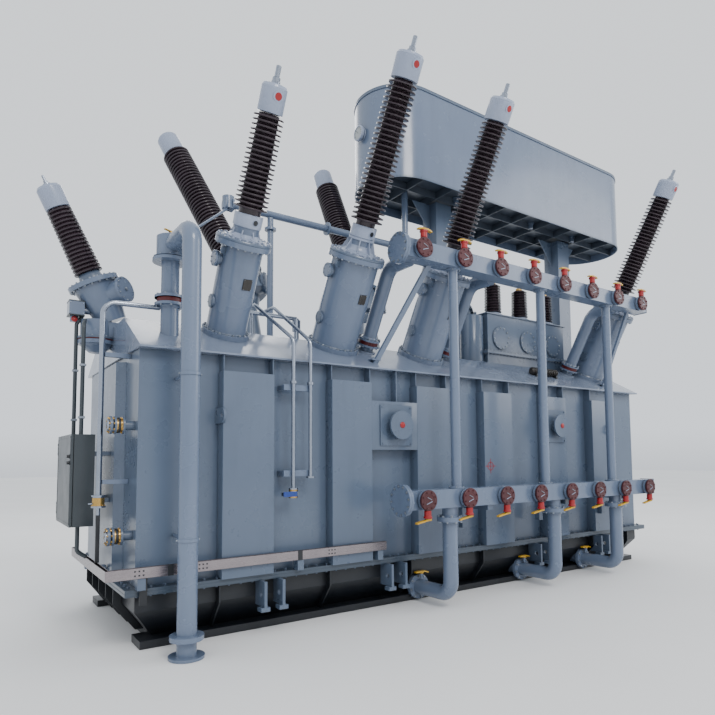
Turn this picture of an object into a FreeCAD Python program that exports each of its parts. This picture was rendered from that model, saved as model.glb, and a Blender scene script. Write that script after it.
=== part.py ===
"""Oil-filled power transformer on its own tank, with its cooler headers, bushings and conservator.

X runs along the tank, -Y is the front with the cooler headers, and Z is up.
The origin is the middle of the tank's footprint, on the ground.  Sizes are in millimetres.
"""
import FreeCAD, Part
import math
import os
import re
from FreeCAD import Placement, Rotation, Vector

SIZES = {
    # tank, from the ground up
    "tank_len": 7700, "tank_wide": 2240,
    "rail_high": 70, "rail_wide": 300, "rail_out": 1085, "rail_end": 60,
    "kink_high": 330, "trough_side": 200, "trough_end": 200,
    "flange_low": 490, "flange_thick": 30, "flange_over": 105,
    "rib_deep": 80, "rib_thick": 16,
    "lip_high": 2667, "lip_thick": 16, "lip_over": 120, "lip_end": 25,
    "cover_run": 644, "cover_tilt": 29.2,
    "stiff_deep": 140, "stiff_top": 2490, "gusset_thick": 12,
    "bridge_low": 1745, "bridge_top": 2290, "bulge_deep": 80, "bulge_wide": 1300,
    "jack_gap": 190, "jack_thick": 32, "jack_deep": 210, "jack_foot": 250,
    # front bushings on the sloping part of the cover
    "turret_in": 400, "tube_r": 265, "ring_r": 303, "head_r": 318, "turret_long": 1050,
    "neutral_tube_r": 205, "neutral_ring_r": 247, "neutral_head_r": 273, "neutral_long": 945,
    "ring_thick": 50, "neck_r": 130, "neck_long": 175, "collar_r": 140, "collar_long": 130,
    "shed_r": 180, "shed_top_r": 150, "core_r": 112, "core_top_r": 86, "shed_pitch": 66,
    "cap_r": 143, "cap_long": 255, "stem_r": 24, "stem_long": 150,
    "insulator_long": 1450, "neutral_insulator": 905,
    # rear bushings
    "rear_x": -2220, "rear_pitch": 1885, "rear_y": 500, "rear_head": 4000, "rear_cone_r": 300,
    "rear_top_r": 235, "rear_insulator": 1900, "rear_tilt": 24,
    # bushing on the left end
    "end_x": -4010, "end_low": 2830, "end_high": 3090, "end_r": 155, "end_head": 3462,
    "end_insulator": 680, "end_tilt": 26,
    # conservator
    "cons_r": 620, "cons_left": -30, "cons_right": 4300, "cons_low": 5430, "cons_top": 6730,
    "cons_wall": 6, "cons_plate": 12, "cons_recess": 130, "cons_rib": 110, "cons_rib_thick": 12,
    "cons_post": 300, "cons_post_1": 715, "cons_post_2": 3555,
    # low-voltage box
    "lv_left": 1160, "lv_right": 2980, "lv_front": 560, "lv_back": 120, "lv_flange": 3190,
    "lv_top": 3770, "lv_pitch": 600, "lv_first": 1460, "lv_over": 45,
    # cooler headers
    "head_out": 560, "head_side": 200, "head_left": -1310, "head_right": 3300,
    "upper_z": 3905, "lower_z": 1210, "valve_first": -1120, "valve_pitch": 600,
    "valve_r": 108, "valve_out": 200, "blank_r": 170, "blank_thick": 26,
    "post_r": 57, "down_r": 84, "down_z": 158, "elbow_r": 150,
    "feed_in": 400, "feed_z": 3850, "feed_r": 84,
    # pipes
    "vent_x": -3520, "vent_in": 240, "vent_r": 84, "vent_head": 3570, "big_out": 400, "big_z": 3715,
    "oil_out": 180, "strut_in": 40,
    # tray
    "tray_out": 180, "tray_deep": 34, "tray_top": 745, "tray_high": 92, "tray_left": -4128, "tray_right": -1260,
    # cabinet on the left end
    "cab_x": -4290, "cab_deep": 205, "cab_y": -500, "cab_wide": 840, "cab_z": 1040, "cab_high": 860,
    "cab_sheet": 4, "door_thick": 20, "door_gap": 6, "hinge_off": 18, "pin_r": 7, "knuckle_r": 12,
}

# distances from the middle that follow the tank's width
PLACES = {
    "turret_y": "=tank_wide/2-turret_in", "feed_y": "=tank_wide/2-feed_in", "vent_y": "=tank_wide/2-vent_in",
    "big_y": "=tank_wide/2+big_out", "head_y": "=tank_wide/2+head_out", "tray_y": "=tank_wide/2+tray_out",
    "oil_y": "=tank_wide/2+oil_out", "strut_y": "=tank_wide/2-strut_in", "last_rib": "=tank_len/2-350",
}
SIZES.update(PLACES)

doc = FreeCAD.newDocument("power_transformer")
sheet = doc.addObject("Spreadsheet::Sheet", "Sizes")
for row, (alias, value) in enumerate(SIZES.items(), start=1):
    sheet.set("A%d" % row, alias)
    sheet.set("B%d" % row, str(value))
    sheet.setAlias("B%d" % row, alias)
doc.recompute()

NODES = []
COLLARS = []
CAPS = []
BRACKETS = []
COVER_RISE = "tan(cover_tilt)*cover_run"


def link(text):
    """Point every named size in an expression at its cell."""
    return re.sub(r"[a-z][a-z0-9_]*",
                  lambda word: "Sizes." + word.group(0) if word.group(0) in SIZES else word.group(0),
                  str(text))


def size(alias):
    """Read one named size as a number."""
    return float(sheet.get(alias))


def bind(item, **sizes):
    """Tie properties of an object to expressions of the named sizes."""
    for name, text in sizes.items():
        item.setExpression(name, link(text))
    return item


def put(item, x, y, z):
    """Place an object by three expressions."""
    for axis, text in zip("xyz", (x, y, z)):
        item.setExpression("Placement.Base." + axis, link(text))
    return item


def box(length, width, height, x, y, z):
    """A block from its low corner."""
    item = doc.addObject("Part::Box", "box")
    return put(bind(item, Length=length, Width=width, Height=height), x, y, z)


TURNS = {
    "x": Rotation(Vector(0, 1, 0), 90),
    "-x": Rotation(Vector(0, 1, 0), -90),
    "y": Rotation(Vector(1, 0, 0), -90),
    "-y": Rotation(Vector(1, 0, 0), 90),
    "z": Rotation(),
}


def rod(radius, length, x, y, z, along="z"):
    """A cylinder from the centre of its first face."""
    item = doc.addObject("Part::Cylinder", "rod")
    item.Placement = Placement(Vector(), TURNS[along])
    return put(bind(item, Radius=radius, Height=length), x, y, z)


def cone(radius_1, radius_2, length, x, y, z, along="z"):
    """A cone from the centre of its first face."""
    item = doc.addObject("Part::Cone", "cone")
    item.Placement = Placement(Vector(), TURNS[along])
    return put(bind(item, Radius1=radius_1, Radius2=radius_2, Height=length), x, y, z)


def taper(low, high, base, top, z):
    """A block whose plan changes from base to top: each is (x1, x2, y1, y2)."""
    item = doc.addObject("Part::Wedge", "taper")
    item.Placement = Placement(Vector(), TURNS["-y"])
    bind(item, Ymin=low, Ymax=high, Xmin=base[0], Xmax=base[1], X2min=top[0], X2max=top[1],
         Zmin="-(%s)" % base[3], Zmax="-(%s)" % base[2], Z2min="-(%s)" % top[3], Z2max="-(%s)" % top[2])
    return put(item, 0, 0, z)


def fuse(items):
    """Join touching pieces into one solid."""
    item = doc.addObject("Part::MultiFuse", "fuse")
    item.Shapes = items
    item.Refine = True
    return item


def cut(base, tool):
    """Take one piece out of another."""
    item = doc.addObject("Part::Cut", "cut")
    item.Base = base
    item.Tool = tool
    return item


def gather(items):
    """Keep like pieces that don't touch together."""
    item = doc.addObject("Part::Compound", "set")
    item.Links = items
    return item


def mirrored(item, normal):
    """A mirrored copy across the middle plane."""
    copy = doc.addObject("Part::Mirroring", "mirror")
    copy.Source = item
    copy.Base = Vector(0, 0, 0)
    copy.Normal = normal
    return copy


def node(name, item):
    """Name a finished sub-part: its label names its file."""
    item.Label = name
    NODES.append(item)
    return item


def tilt(item, angle, axis):
    """Turn a finished sub-part by a named angle about an axis."""
    item.Placement = Placement(Vector(), Rotation(axis, 10))
    item.setExpression("Placement.Rotation.Angle", link(angle))
    return item


def tube(points, radius, bend):
    """A round pipe through points, with arcs of the bend radius between its straight runs."""
    corners = [Vector(*point) for point in points]
    edges = []
    start = corners[0]
    for before, corner, after in zip(corners, corners[1:], corners[2:]):
        way_in = (corner - before).normalize()
        way_out = (after - corner).normalize()
        turn = way_in.getAngle(way_out)
        back = bend * math.tan(turn / 2)
        enter = corner - way_in * back
        leave = corner + way_out * back
        middle = corner + (way_out - way_in).normalize() * (bend / math.cos(turn / 2) - bend)
        edges.append(Part.LineSegment(start, enter).toShape())
        edges.append(Part.Arc(enter, middle, leave).toShape())
        start = leave
    edges.append(Part.LineSegment(start, corners[-1]).toShape())
    first_way = (corners[1] - corners[0]).normalize()
    profile = Part.Wire([Part.makeCircle(radius, corners[0], first_way)])
    return Part.Wire(edges).makePipeShell([profile], True, False)


def feature(shape):
    """Hold a shape made with the Part functions in a document object."""
    item = doc.addObject("Part::Feature", "feature")
    item.Shape = shape
    return item


def disc(radius, thick, centre, way):
    """A flange disc centred on a point of a pipe."""
    way = Vector(*way).normalize()
    return Part.makeCylinder(radius, thick, Vector(*centre) - way * (thick / 2), way)


def piped(points, radius, bend, extras=()):
    """A pipe with its flanges and fittings, as one solid."""
    body = tube(points, radius, bend)
    return feature(body.fuse(list(extras)).removeSplitter() if extras else body)


def bar(first, last, wide, deep):
    """A straight rectangular bar between two points."""
    way = last - first
    item = doc.addObject("Part::Box", "bar")
    item.Length = wide
    item.Width = deep
    item.Height = way.Length
    turn = Rotation(Vector(0, 0, 1), way)
    item.Placement = Placement(first - turn.multVec(Vector(wide / 2, deep / 2, 0)), turn)
    return item


# ---------------------------------------------------------------- tank

STIFFENERS = [(-3120, 525), (-1925, 510), (-770, 500), (330, 520), (1525, 465), (2610, 360)]
RIBS = (-3120, -1925, -835, 330, 1525, 2610, "last_rib")
JACKS = (-2613, -1106, 1385, 2742)
GUSSETS = (-3106, -2593, -1912, -1415, -1041, -755, -283, 340, 838, 1535, 1975, 2620)


def base_rails():
    """Two rails that the lower tank stands on."""
    front = box("tank_len-2*rail_end", "rail_wide", "rail_high", "-tank_len/2+rail_end", "-rail_out", 0)
    return node("base_rails", gather([front, mirrored(front, Vector(0, 1, 0))]))


def trough():
    """The lower tank, with its sides drawn in towards the ground."""
    half_x, half_y = "tank_len/2", "tank_wide/2"
    upper = box("tank_len", "tank_wide", "flange_low-kink_high", "-" + half_x, "-" + half_y, "kink_high")
    lower = taper("0", "kink_high-rail_high",
                  ("-%s+trough_end" % half_x, "%s-trough_end" % half_x,
                   "-%s+trough_side" % half_y, "%s-trough_side" % half_y),
                  ("-" + half_x, half_x, "-" + half_y, half_y), "rail_high")
    keel = box("tank_len-2*trough_end", "2*(rail_out-rail_wide)", "rail_high", "-tank_len/2+trough_end",
               "-(rail_out-rail_wide)", 0)
    return node("lower_tank", fuse([upper, lower, keel]))


def trough_ribs():
    """Upright ribs that follow the lower tank's sides and ends."""
    ribs = []
    draw = "trough_side"
    for left in RIBS:
        upright = box("rib_thick", "rib_deep", "flange_low-kink_high", left,
                      "-tank_wide/2-rib_deep", "kink_high")
        sloped = taper("0", "kink_high-rail_high",
                       (left, "%s+rib_thick" % left, "-tank_wide/2-rib_deep+" + draw, "-tank_wide/2+" + draw),
                       (left, "%s+rib_thick" % left, "-tank_wide/2-rib_deep", "-tank_wide/2"), "rail_high")
        ribs.append(fuse([upright, sloped]))
    front = gather(ribs)
    ends = []
    for y in (-660, -330, 0, 330, 660):
        upright = box("rib_deep", "rib_thick", "flange_low-kink_high", "-tank_len/2-rib_deep", y, "kink_high")
        sloped = taper("0", "kink_high-rail_high",
                       ("-tank_len/2-rib_deep+trough_end", "-tank_len/2+trough_end", y, "%d+rib_thick" % y),
                       ("-tank_len/2-rib_deep", "-tank_len/2", y, "%d+rib_thick" % y), "rail_high")
        ends.append(fuse([upright, sloped]))
    left = gather(ends)
    return node("lower_ribs", gather([front, mirrored(front, Vector(0, 1, 0)), left,
                                      mirrored(left, Vector(1, 0, 0))]))


def joint_flanges():
    """The two flange plates where the bell sits on the lower tank."""
    for name, level in (("lower_flange", "flange_low"), ("bell_flange", "flange_low+flange_thick")):
        node(name, box("tank_len+2*flange_over", "tank_wide+2*flange_over", "flange_thick",
                       "-tank_len/2-flange_over", "-tank_wide/2-flange_over", level))


def bell():
    """The bell-shaped upper tank under its cover."""
    foot = "flange_low+2*flange_thick"
    return node("bell_tank", box("tank_len", "tank_wide", "lip_high-lip_thick-(%s)" % foot,
                                 "-tank_len/2", "-tank_wide/2", foot))


def cover():
    """The cover: a lip all round, two sloping sides and a flat top."""
    half = "tank_wide/2+lip_over"
    end = "tank_len/2+lip_end"
    lip = box("2*(%s)" % end, "2*(%s)" % half, "lip_thick", "-(%s)" % end, "-(%s)" % half,
              "lip_high-lip_thick")
    roof = taper("0", COVER_RISE, ("-(%s)" % end, end, "-(%s)" % half, half),
                 ("-(%s)" % end, end, "-(%s)+cover_run" % half, "%s-cover_run" % half), "lip_high")
    return node("tank_cover", fuse([lip, roof]))


def wall_stiffeners():
    """Hollow-section stiffeners on both long walls, shown as closed boxes."""
    foot = "flange_low+2*flange_thick"
    front = gather([box(wide, "stiff_deep", "stiff_top-(%s)" % foot, left, "-tank_wide/2-stiff_deep", foot)
                    for left, wide in STIFFENERS])
    node("wall_stiffeners", gather([front, mirrored(front, Vector(0, 1, 0))]))
    left = STIFFENERS[1][0] + STIFFENERS[1][1]
    node("manhole_bridge", box("%d-(%d)" % (STIFFENERS[2][0], left), "stiff_deep", "bridge_top-bridge_low",
                               left, "-tank_wide/2-stiff_deep", "bridge_low"))


def gussets():
    """Small upright plates from the stiffeners' tops to the cover's lip."""
    plates = [box("gusset_thick", "stiff_deep-40", "lip_high-lip_thick-stiff_top", left,
                  "-tank_wide/2-stiff_deep+40", "stiff_top") for left in GUSSETS if left != -1041]
    middle = box("gusset_thick", "stiff_deep-40", "lip_high-lip_thick-bridge_top", -1047,
                 "-tank_wide/2-stiff_deep+40", "bridge_top")
    front = gather(plates + [middle])
    return node("lip_gussets", gather([front, mirrored(gather(plates), Vector(0, 1, 0))]))


def end_bulges():
    """Shallow stiffening boxes with chamfered sides on the two end walls."""
    foot = "flange_low+2*flange_thick"
    item = doc.addObject("Part::Wedge", "bulge")
    high = "lip_high-lip_thick-60-(%s)" % foot
    item.Placement = Placement(Vector(), Rotation(Vector(0, 0, 1), 90))
    bind(item, Ymin="tank_len/2", Ymax="tank_len/2+bulge_deep", Xmin="-bulge_wide/2", Xmax="bulge_wide/2",
         X2min="-bulge_wide/2+bulge_deep", X2max="bulge_wide/2-bulge_deep",
         Zmin="0", Zmax=high, Z2min="0", Z2max=high)
    put(item, 0, 0, foot)
    return node("end_stiffeners", gather([item, mirrored(item, Vector(1, 0, 0))]))


def jacking_brackets():
    """Pairs of jacking cheeks with feet, under the joint flange."""
    cheeks = []
    for middle in JACKS:
        for side in (-1, 1):
            left = "%d+(%d)*jack_gap/2-jack_thick/2" % (middle, side)
            cheek = box("jack_thick", "jack_deep+rib_deep", "flange_low-jack_foot", left,
                        "-tank_wide/2-jack_deep", "jack_foot")
            pad = box("jack_thick*3", "90", "40", left + "-jack_thick", "-tank_wide/2-jack_deep", "jack_foot-40")
            body = fuse([cheek, pad])
            hole = rod("26", "jack_thick*3", left + "-jack_thick", "-tank_wide/2-jack_deep*0.62",
                       "jack_foot+110", "x")
            cheeks.append(cut(cut(body, hole), box("jack_thick*5", "rib_deep*3", "jack_foot*3",
                                                   left + "-2*jack_thick", "-tank_wide/2", 0)))
    front = gather(cheeks)
    return node("jacking_brackets", gather([front, mirrored(front, Vector(0, 1, 0))]))


def ports():
    """The two blanked ports on the front wall: plate, neck and disc."""
    made = []
    for x, z, plate in ((-1087, 2020, 445), (1735, 2080, 415)):
        face = "-tank_wide/2-stiff_deep"
        made.append(fuse([
            box(plate, "18", 455, x - plate / 2, face + "-18", z - 228),
            rod("78", "120", x, face, z, "-y"),
            rod("160", "26", x, face + "-100", z, "-y"),
        ]))
    return node("wall_ports", gather(made))


def lifting_lugs():
    """Lifting eyes on the stiffeners at the four corners."""
    lugs = []
    outer = (STIFFENERS[0][0] - 25, STIFFENERS[5][0] + STIFFENERS[5][1])
    for left in outer:
        face = "-tank_wide/2-stiff_deep"
        plate = box("25", "stiff_deep", "150", left, face, 1990)
        eye = rod("75", "25", left, face + "-10", 2065, "x")
        hole = rod("28", "75", left - 25, face + "-22", 2065, "x")
        lugs.append(cut(fuse([plate, eye]), hole))
    front = gather(lugs)
    return node("lifting_lugs", gather([front, mirrored(front, Vector(0, 1, 0))]))


def cable_tray():
    """A shallow cable tray round the left front corner, on blocks from the flange."""
    low = "tray_top-tray_high"
    front = box("tray_right-tray_left", "tray_deep", "tray_high", "tray_left", "-tray_y", low)
    side = box("tray_deep", "tray_y+400", "tray_high", "tray_left", "-tray_y", low)
    outline = fuse([front, side])
    hollow = fuse([
        box("tray_right-tray_left-6", "tray_deep-6", "tray_high", "tray_left+3", "-tray_y+3", low + "+4"),
        box("tray_deep-6", "tray_y+394", "tray_high", "tray_left+3", "-tray_y+3", low + "+4"),
    ])
    node("cable_tray", cut(outline, hollow))
    blocks = [box("70", "100", low + "-flange_low-2*flange_thick", x, "-tray_y+8",
                  "flange_low+2*flange_thick") for x in (-3870, -2350, -1370)]
    reach = box("-(tank_len)/2-flange_over-tray_left+15", "60", "20", "tray_left", "-400", low + "-20")
    block = box("20", "60", low + "-20-flange_low-2*flange_thick", "-tank_len/2-flange_over", "-400",
                "flange_low+2*flange_thick")
    return node("tray_blocks", gather(blocks + [fuse([reach, block])]))


# ---------------------------------------------------------------- bushings

def insulator_stack(length, foot_r, top_r, shed_foot, shed_top, pitch):
    """A tapering core with weather sheds, standing on the local Z axis."""
    core = cone(foot_r, top_r, length, 0, 0, 0)
    count = int(length / pitch)
    sheds = []
    for index in range(count):
        share = (index + 0.5) / count
        radius = shed_foot + (shed_top - shed_foot) * share
        inner = foot_r + (top_r - foot_r) * share
        sheds.append(cone(radius, inner + 2, 26, 0, 0, length * share - 13))
    return fuse([core] + sheds)


def stand(item, along, spot, tilt_angle, axis):
    """Place a piece built on the local Z axis at a distance along a leaning axis."""
    turn = Rotation(axis, tilt_angle)
    for name in "xyz":
        item.setExpression("Placement.Base." + name, None)
    item.Placement = Placement(Vector(*spot) + turn.multVec(Vector(0, 0, along)), turn)
    return item


def cap(radius, length, stem):
    """The oil cap and terminal stem of a bushing, on the local Z axis."""
    return fuse([rod(radius, length, 0, 0, 0), rod("stem_r", stem, 0, 0, length)])


def front_bushings():
    """Four leaning turrets on the front slope, the first one smaller, each with its bushing."""
    slope = math.radians(size("cover_tilt"))
    lip_y = size("tank_wide") / 2 + size("lip_over")
    foot_z = size("lip_high") + (lip_y - size("turret_y")) * math.tan(slope)
    turrets, stacks = [], []
    for x in (-2900, -1590, -260, 3270):
        small = not turrets
        kind = "neutral_" if small else ""
        long = size(kind + "long" if small else "turret_long")
        spot = (x, -size("turret_y"), foot_z)
        axis = Vector(1, 0, 0)
        angle = size("cover_tilt")
        thick, neck = size("ring_thick"), size("neck_long") * (0.65 if small else 1)
        body = fuse([
            rod(kind + "ring_r", "ring_thick", 0, 0, 0),
            rod(kind + "tube_r", long, 0, 0, 0),
            rod(kind + "head_r", "ring_thick", 0, 0, long - thick / 2),
            rod("neck_r", neck + thick, 0, 0, long),
            rod("52", 120, "-(%stube_r)-45" % kind, 0, long - 190, "x"),
            rod("78", 20, "-(%stube_r)-65" % kind, 0, long - 190, "x"),
            rod("62", 120, "-(%stube_r)-16" % kind, 0, 330, "x"),
        ])
        turrets.append(stand(body, 0, spot, angle, axis))
        collar_low = long + thick + neck
        collar = rod("collar_r", "collar_long", 0, 0, 0)
        COLLARS.append(stand(collar, collar_low, spot, angle, axis))
        low = collar_low + size("collar_long")
        high = size("neutral_insulator" if small else "insulator_long")
        stack = insulator_stack(high, size("core_r"), size("core_top_r"), size("shed_r"),
                                size("shed_top_r"), size("shed_pitch"))
        stacks.append(stand(stack, low, spot, angle, axis))
        cap_r = "cap_r*0.84" if small else "cap_r"
        CAPS.append(stand(cap(cap_r, "cap_long", "stem_long"), low + high, spot, angle, axis))
    node("front_turrets", gather(turrets))
    node("front_insulators", gather(stacks))


def rear_bushings():
    """Three cone turrets along the cover's rear edge, the outer bushings fanned outwards."""
    lip_y = size("tank_wide") / 2 + size("lip_over")
    ridge = size("lip_high") + size("cover_run") * math.tan(math.radians(size("cover_tilt")))
    turrets, stacks = [], []
    for place, (swing, lean) in enumerate(((35, 30), (8, 23), (-30, 28))):
        x = size("rear_x") + place * size("rear_pitch")
        y, head = size("rear_y"), size("rear_head")
        way = Vector(math.cos(math.radians(swing)), math.sin(math.radians(swing)), 0)
        turn = Rotation(way, -lean)
        flange = Part.makeCylinder(285, 50, Vector(x, y, head), turn.multVec(Vector(0, 0, 1)))
        lower = Part.makeCone(size("rear_cone_r"), 190, head - 330 - ridge, Vector(x, y, ridge))
        ball = Part.makeSphere(235, Vector(x, y, head - 300))
        elbow = Part.makeCone(225, 245, 330, Vector(x, y, head) - turn.multVec(Vector(0, 0, 320)),
                              turn.multVec(Vector(0, 0, 1)))
        hatch = Part.makeCylinder(120, 330, Vector(x, y, head - 130), Vector(0.75, -0.66, 0.1))
        body = lower.fuse([ball, elbow, flange, hatch]).removeSplitter()
        turrets.append(body)
        foot = Vector(x, y, head)
        stack = insulator_stack(size("rear_insulator"), 150, 140, 190, 183, 52)
        seat = rod("collar_r+15", "150", 0, 0, 0)
        COLLARS.append(stand(seat, 50, foot, -lean, way))
        stacks.append(stand(stack, 200, foot, -lean, way))
        CAPS.append(stand(cap("cap_r", "cap_long+60", "90"), 200 + size("rear_insulator"), foot, -lean, way))
    node("rear_turrets", feature(Part.makeCompound(turrets)))
    node("rear_insulators", gather(stacks))


def end_bushing():
    """The bushing that leans out over the left end on its own elbow."""
    x, low, high, radius = size("end_x"), size("end_low"), size("end_high"), size("end_r")
    lean = size("end_tilt")
    turn = Rotation(Vector(0, 1, 0), -lean)
    up = turn.multVec(Vector(0, 0, 1))
    head = Vector(x - 26, 0, size("end_head"))
    drum = Part.makeCylinder(radius, high - low, Vector(x, 0, low))
    dish = Part.makeCone(70, radius, 70, Vector(x, 0, low - 70))
    rim = Part.makeCylinder(radius + 25, 40, Vector(x, 0, low + 10))
    elbow = Part.makeCone(radius - 8, 215, 400, head - up * 400, up)
    flange = Part.makeCylinder(258, 46, head, up)
    hatch = Part.makeCylinder(112, 290, head - up * 125, Vector(0.62, -0.75, 0.2))
    lid = Part.makeCylinder(132, 30, head - up * 125 + Vector(0.62, -0.75, 0.2).normalize() * 285,
                            Vector(0.62, -0.75, 0.2))
    duct = Part.makeBox(-size("tank_len") / 2 - x - 25 + 340, 240, 200, Vector(x, -120, high - 215))
    terminal = Part.makeBox(140, 160, 145, Vector(x - 270, -80, high + 30))
    neck = Part.makeCylinder(34, 230, Vector(x - 170, 0, high + 95), Vector(1, 0, 0))
    pot = Part.makeCylinder(38, 60, Vector(x - 215, 0, high - 30))
    roof = made("tank_cover").Shape
    body = drum.fuse([dish, rim, elbow, flange, hatch, lid, duct, terminal, neck, pot]).cut(roof)
    body = max(body.cut(made("bell_tank").Shape).Solids, key=lambda solid: solid.Volume)
    node("end_turret", feature(body.removeSplitter()))
    COLLARS.append(stand(rod("100", "90", 0, 0, 0), 46, head, -lean, Vector(0, 1, 0)))
    stack = insulator_stack(size("end_insulator"), 105, 88, 140, 118, 48)
    node("end_insulator", stand(stack, 136, head, -lean, Vector(0, 1, 0)))
    CAPS.append(stand(cap("122", "240", "110"), 136 + size("end_insulator"), head, -lean, Vector(0, 1, 0)))
    node("bushing_collars", gather(COLLARS))
    node("bushing_caps", gather(CAPS))


def made(name):
    """Find a finished sub-part by its name, with its shape up to date."""
    doc.recompute()
    return next(item for item in NODES if item.Label == name)


# ---------------------------------------------------------------- conservator

def stadium(radius, low, high):
    """A round-ended block along X."""
    left, right = "cons_left", "cons_right"
    return fuse([
        box("%s-(%s)" % (right, left), "2*(%s)" % radius, "(%s)-(%s)" % (high, low), left,
            "-(%s)" % radius, low),
        rod(radius, "(%s)-(%s)" % (high, low), left, 0, low),
        rod(radius, "(%s)-(%s)" % (high, low), right, 0, low),
    ])


def conservator():
    """The oil conservator: wall, top and bottom plates, with a grid of ribs under the bottom."""
    shell = cut(stadium("cons_r", "cons_low", "cons_top"),
                stadium("cons_r-cons_wall", "cons_low-5", "cons_top+5"))
    node("conservator_wall", shell)
    node("conservator_top", stadium("cons_r+12", "cons_top", "cons_top+cons_plate"))
    low = "cons_low+cons_recess"
    node("conservator_bottom", stadium("cons_r-cons_wall", low, low + "+cons_plate"))
    inside = stadium("cons_r-cons_wall", low + "-cons_rib", low)
    bars = [box("cons_right-cons_left+2*cons_r", "cons_rib_thick", "cons_rib", "cons_left-cons_r",
                "(%d)*cons_r/3-cons_rib_thick/2" % row, low + "-cons_rib") for row in (-1, 1)]
    count = 9
    for index in range(count):
        share = index / (count - 1)
        bars.append(box("cons_rib_thick", "2*cons_r", "cons_rib",
                        "cons_left+(cons_right-cons_left)*%.4f-cons_rib_thick/2" % share, "-cons_r",
                        low + "-cons_rib"))
    grid = doc.addObject("Part::MultiCommon", "grid")
    grid.Shapes = [fuse(bars), inside]
    node("conservator_ribs", grid)


def conservator_posts():
    """Two box posts with gussets that carry the conservator."""
    top = "cons_low+cons_recess-cons_rib"
    ridge = "lip_high+" + COVER_RISE
    posts = []
    for number in (1, 2):
        middle = "cons_post_%d" % number
        post = box("cons_post", "cons_post", "%s-(%s)" % (top, ridge), middle + "-cons_post/2",
                   "-cons_post/2", ridge)
        arms = []
        for side in (-1, 1):
            near = 150 * side
            wedge = doc.addObject("Part::Wedge", "arm")
            wedge.Placement = Placement(Vector(), TURNS["-y"])
            low_x, high_x = ("-1", "0") if side < 0 else ("0", "1")
            span = ("-330", "0") if side < 0 else ("0", "330")
            bind(wedge, Ymin="0", Ymax="420", Xmin=low_x, Xmax=high_x, X2min=span[0], X2max=span[1],
                 Zmin="-8", Zmax="8", Z2min="-8", Z2max="8")
            put(wedge, "%s+%d" % (middle, near), 0, top + "-420")
            arms.append(wedge)
        foot = box("cons_post+60", "cons_post+60", "24", middle + "-cons_post/2-30", "-cons_post/2-30", ridge)
        posts.append(fuse([post, foot] + arms))
    return node("conservator_posts", gather(posts))


def oil_gauge():
    """The dial oil gauge on the conservator's left end."""
    return node("oil_gauge", fuse([
        rod("60", "40", "cons_left-cons_r", 0, 6170, "-x"),
        rod("105", "40", "cons_left-cons_r-40", 0, 6170, "-x"),
    ]))


# ---------------------------------------------------------------- low-voltage box

def low_voltage_box():
    """The low-voltage terminal box with three hand-hole covers and three short bushings."""
    ridge = "lip_high+" + COVER_RISE
    base = box("lv_right-lv_left", "lv_front+lv_back", "lv_flange-(%s)" % ridge, "lv_left", "-lv_front", ridge)
    rim = box("lv_right-lv_left+2*lv_over", "lv_front+lv_back+2*lv_over", "40", "lv_left-lv_over",
              "-lv_front-lv_over", "lv_flange-20")
    chest = box("lv_right-lv_left-60", "lv_front+lv_back-40", "lv_top-lv_flange", "lv_left+30",
                "-lv_front+20", "lv_flange")
    lid = box("lv_right-lv_left", "lv_front+lv_back", "16", "lv_left", "-lv_front", "lv_top")
    drum = rod("170", "lv_top-40-(%s)" % ridge, "lv_left-120", "-lv_front+200", ridge)
    node("lv_box", fuse([base, rim, chest, lid, drum]))
    covers = [rod("172", "22", "lv_first+%d*lv_pitch" % index, "-lv_front+20", 3425, "-y")
              for index in range(3)]
    node("lv_covers", gather(covers))
    bushings = []
    for index in range(3):
        stack = insulator_stack(430, 90, 80, 130, 122, 48)
        parts = fuse([rod("135", "50", 0, 0, -50), stack, rod("48", "70", 0, 0, 430)])
        parts.Placement = Placement(Vector(size("lv_first") + index * size("lv_pitch"), -400,
                                           size("lv_top") + 66), Rotation())
        bushings.append(parts)
    return node("lv_bushings", gather(bushings))


# ---------------------------------------------------------------- cooler headers

DOWN_X = (-670, 1120, 2469)
POST_X = (-560, 970, 2407)
FEED_X = (-1120, 170, 2770)


def header(name, level):
    """A square cooler header with its blanked left end."""
    half = "head_side/2"
    body = box("head_right-head_left", "head_side", "head_side", "head_left", "-head_y-%s" % half,
               "%s-%s" % (level, half))
    blank = rod("blank_r", "blank_thick", "head_left", "-head_y", level, "-x")
    plate = rod("blank_r", "blank_thick", "head_left-blank_thick-2", "-head_y", level, "-x")
    ring = rod("blank_r-40", "4", "head_left-blank_thick+1", "-head_y", level, "-x")
    return node(name, fuse([body, blank, ring, plate]))


def valves(level, side):
    """Eight butterfly valves on a header, each with stub, blank disc, stem and lever."""
    made = []
    for index in range(8):
        x = size("valve_first") + index * size("valve_pitch")
        face = "-head_y-head_side/2"
        reach = "valve_out-head_side/2-50"
        parts = [
            rod("80", reach, x, face, level, "-y"),
            rod("valve_r", "50", x, face + "-(%s)" % reach, level, "-y"),
            rod("18", "110", x, face + "-(%s)-25" % reach, "%s+(%d)*100" % (level, side),
                "z" if side > 0 else "z"),
        ]
        if side < 0:
            parts[2] = rod("18", "110", x, face + "-(%s)-25" % reach, "%s-210" % level)
            lever = box("150", "26", "12", x - 132, face + "-(%s)-38" % reach, "%s-216" % level)
        else:
            lever = box("150", "26", "12", x - 18, face + "-(%s)-38" % reach, "%s+204" % level)
        made.append(fuse(parts + [lever]))
    return made


def header_posts():
    """Three upright pipes between the two headers."""
    posts = [rod("post_r", "upper_z-lower_z-head_side", x, "-head_y", "lower_z+head_side/2") for x in POST_X]
    return node("header_posts", gather(posts))


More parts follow.
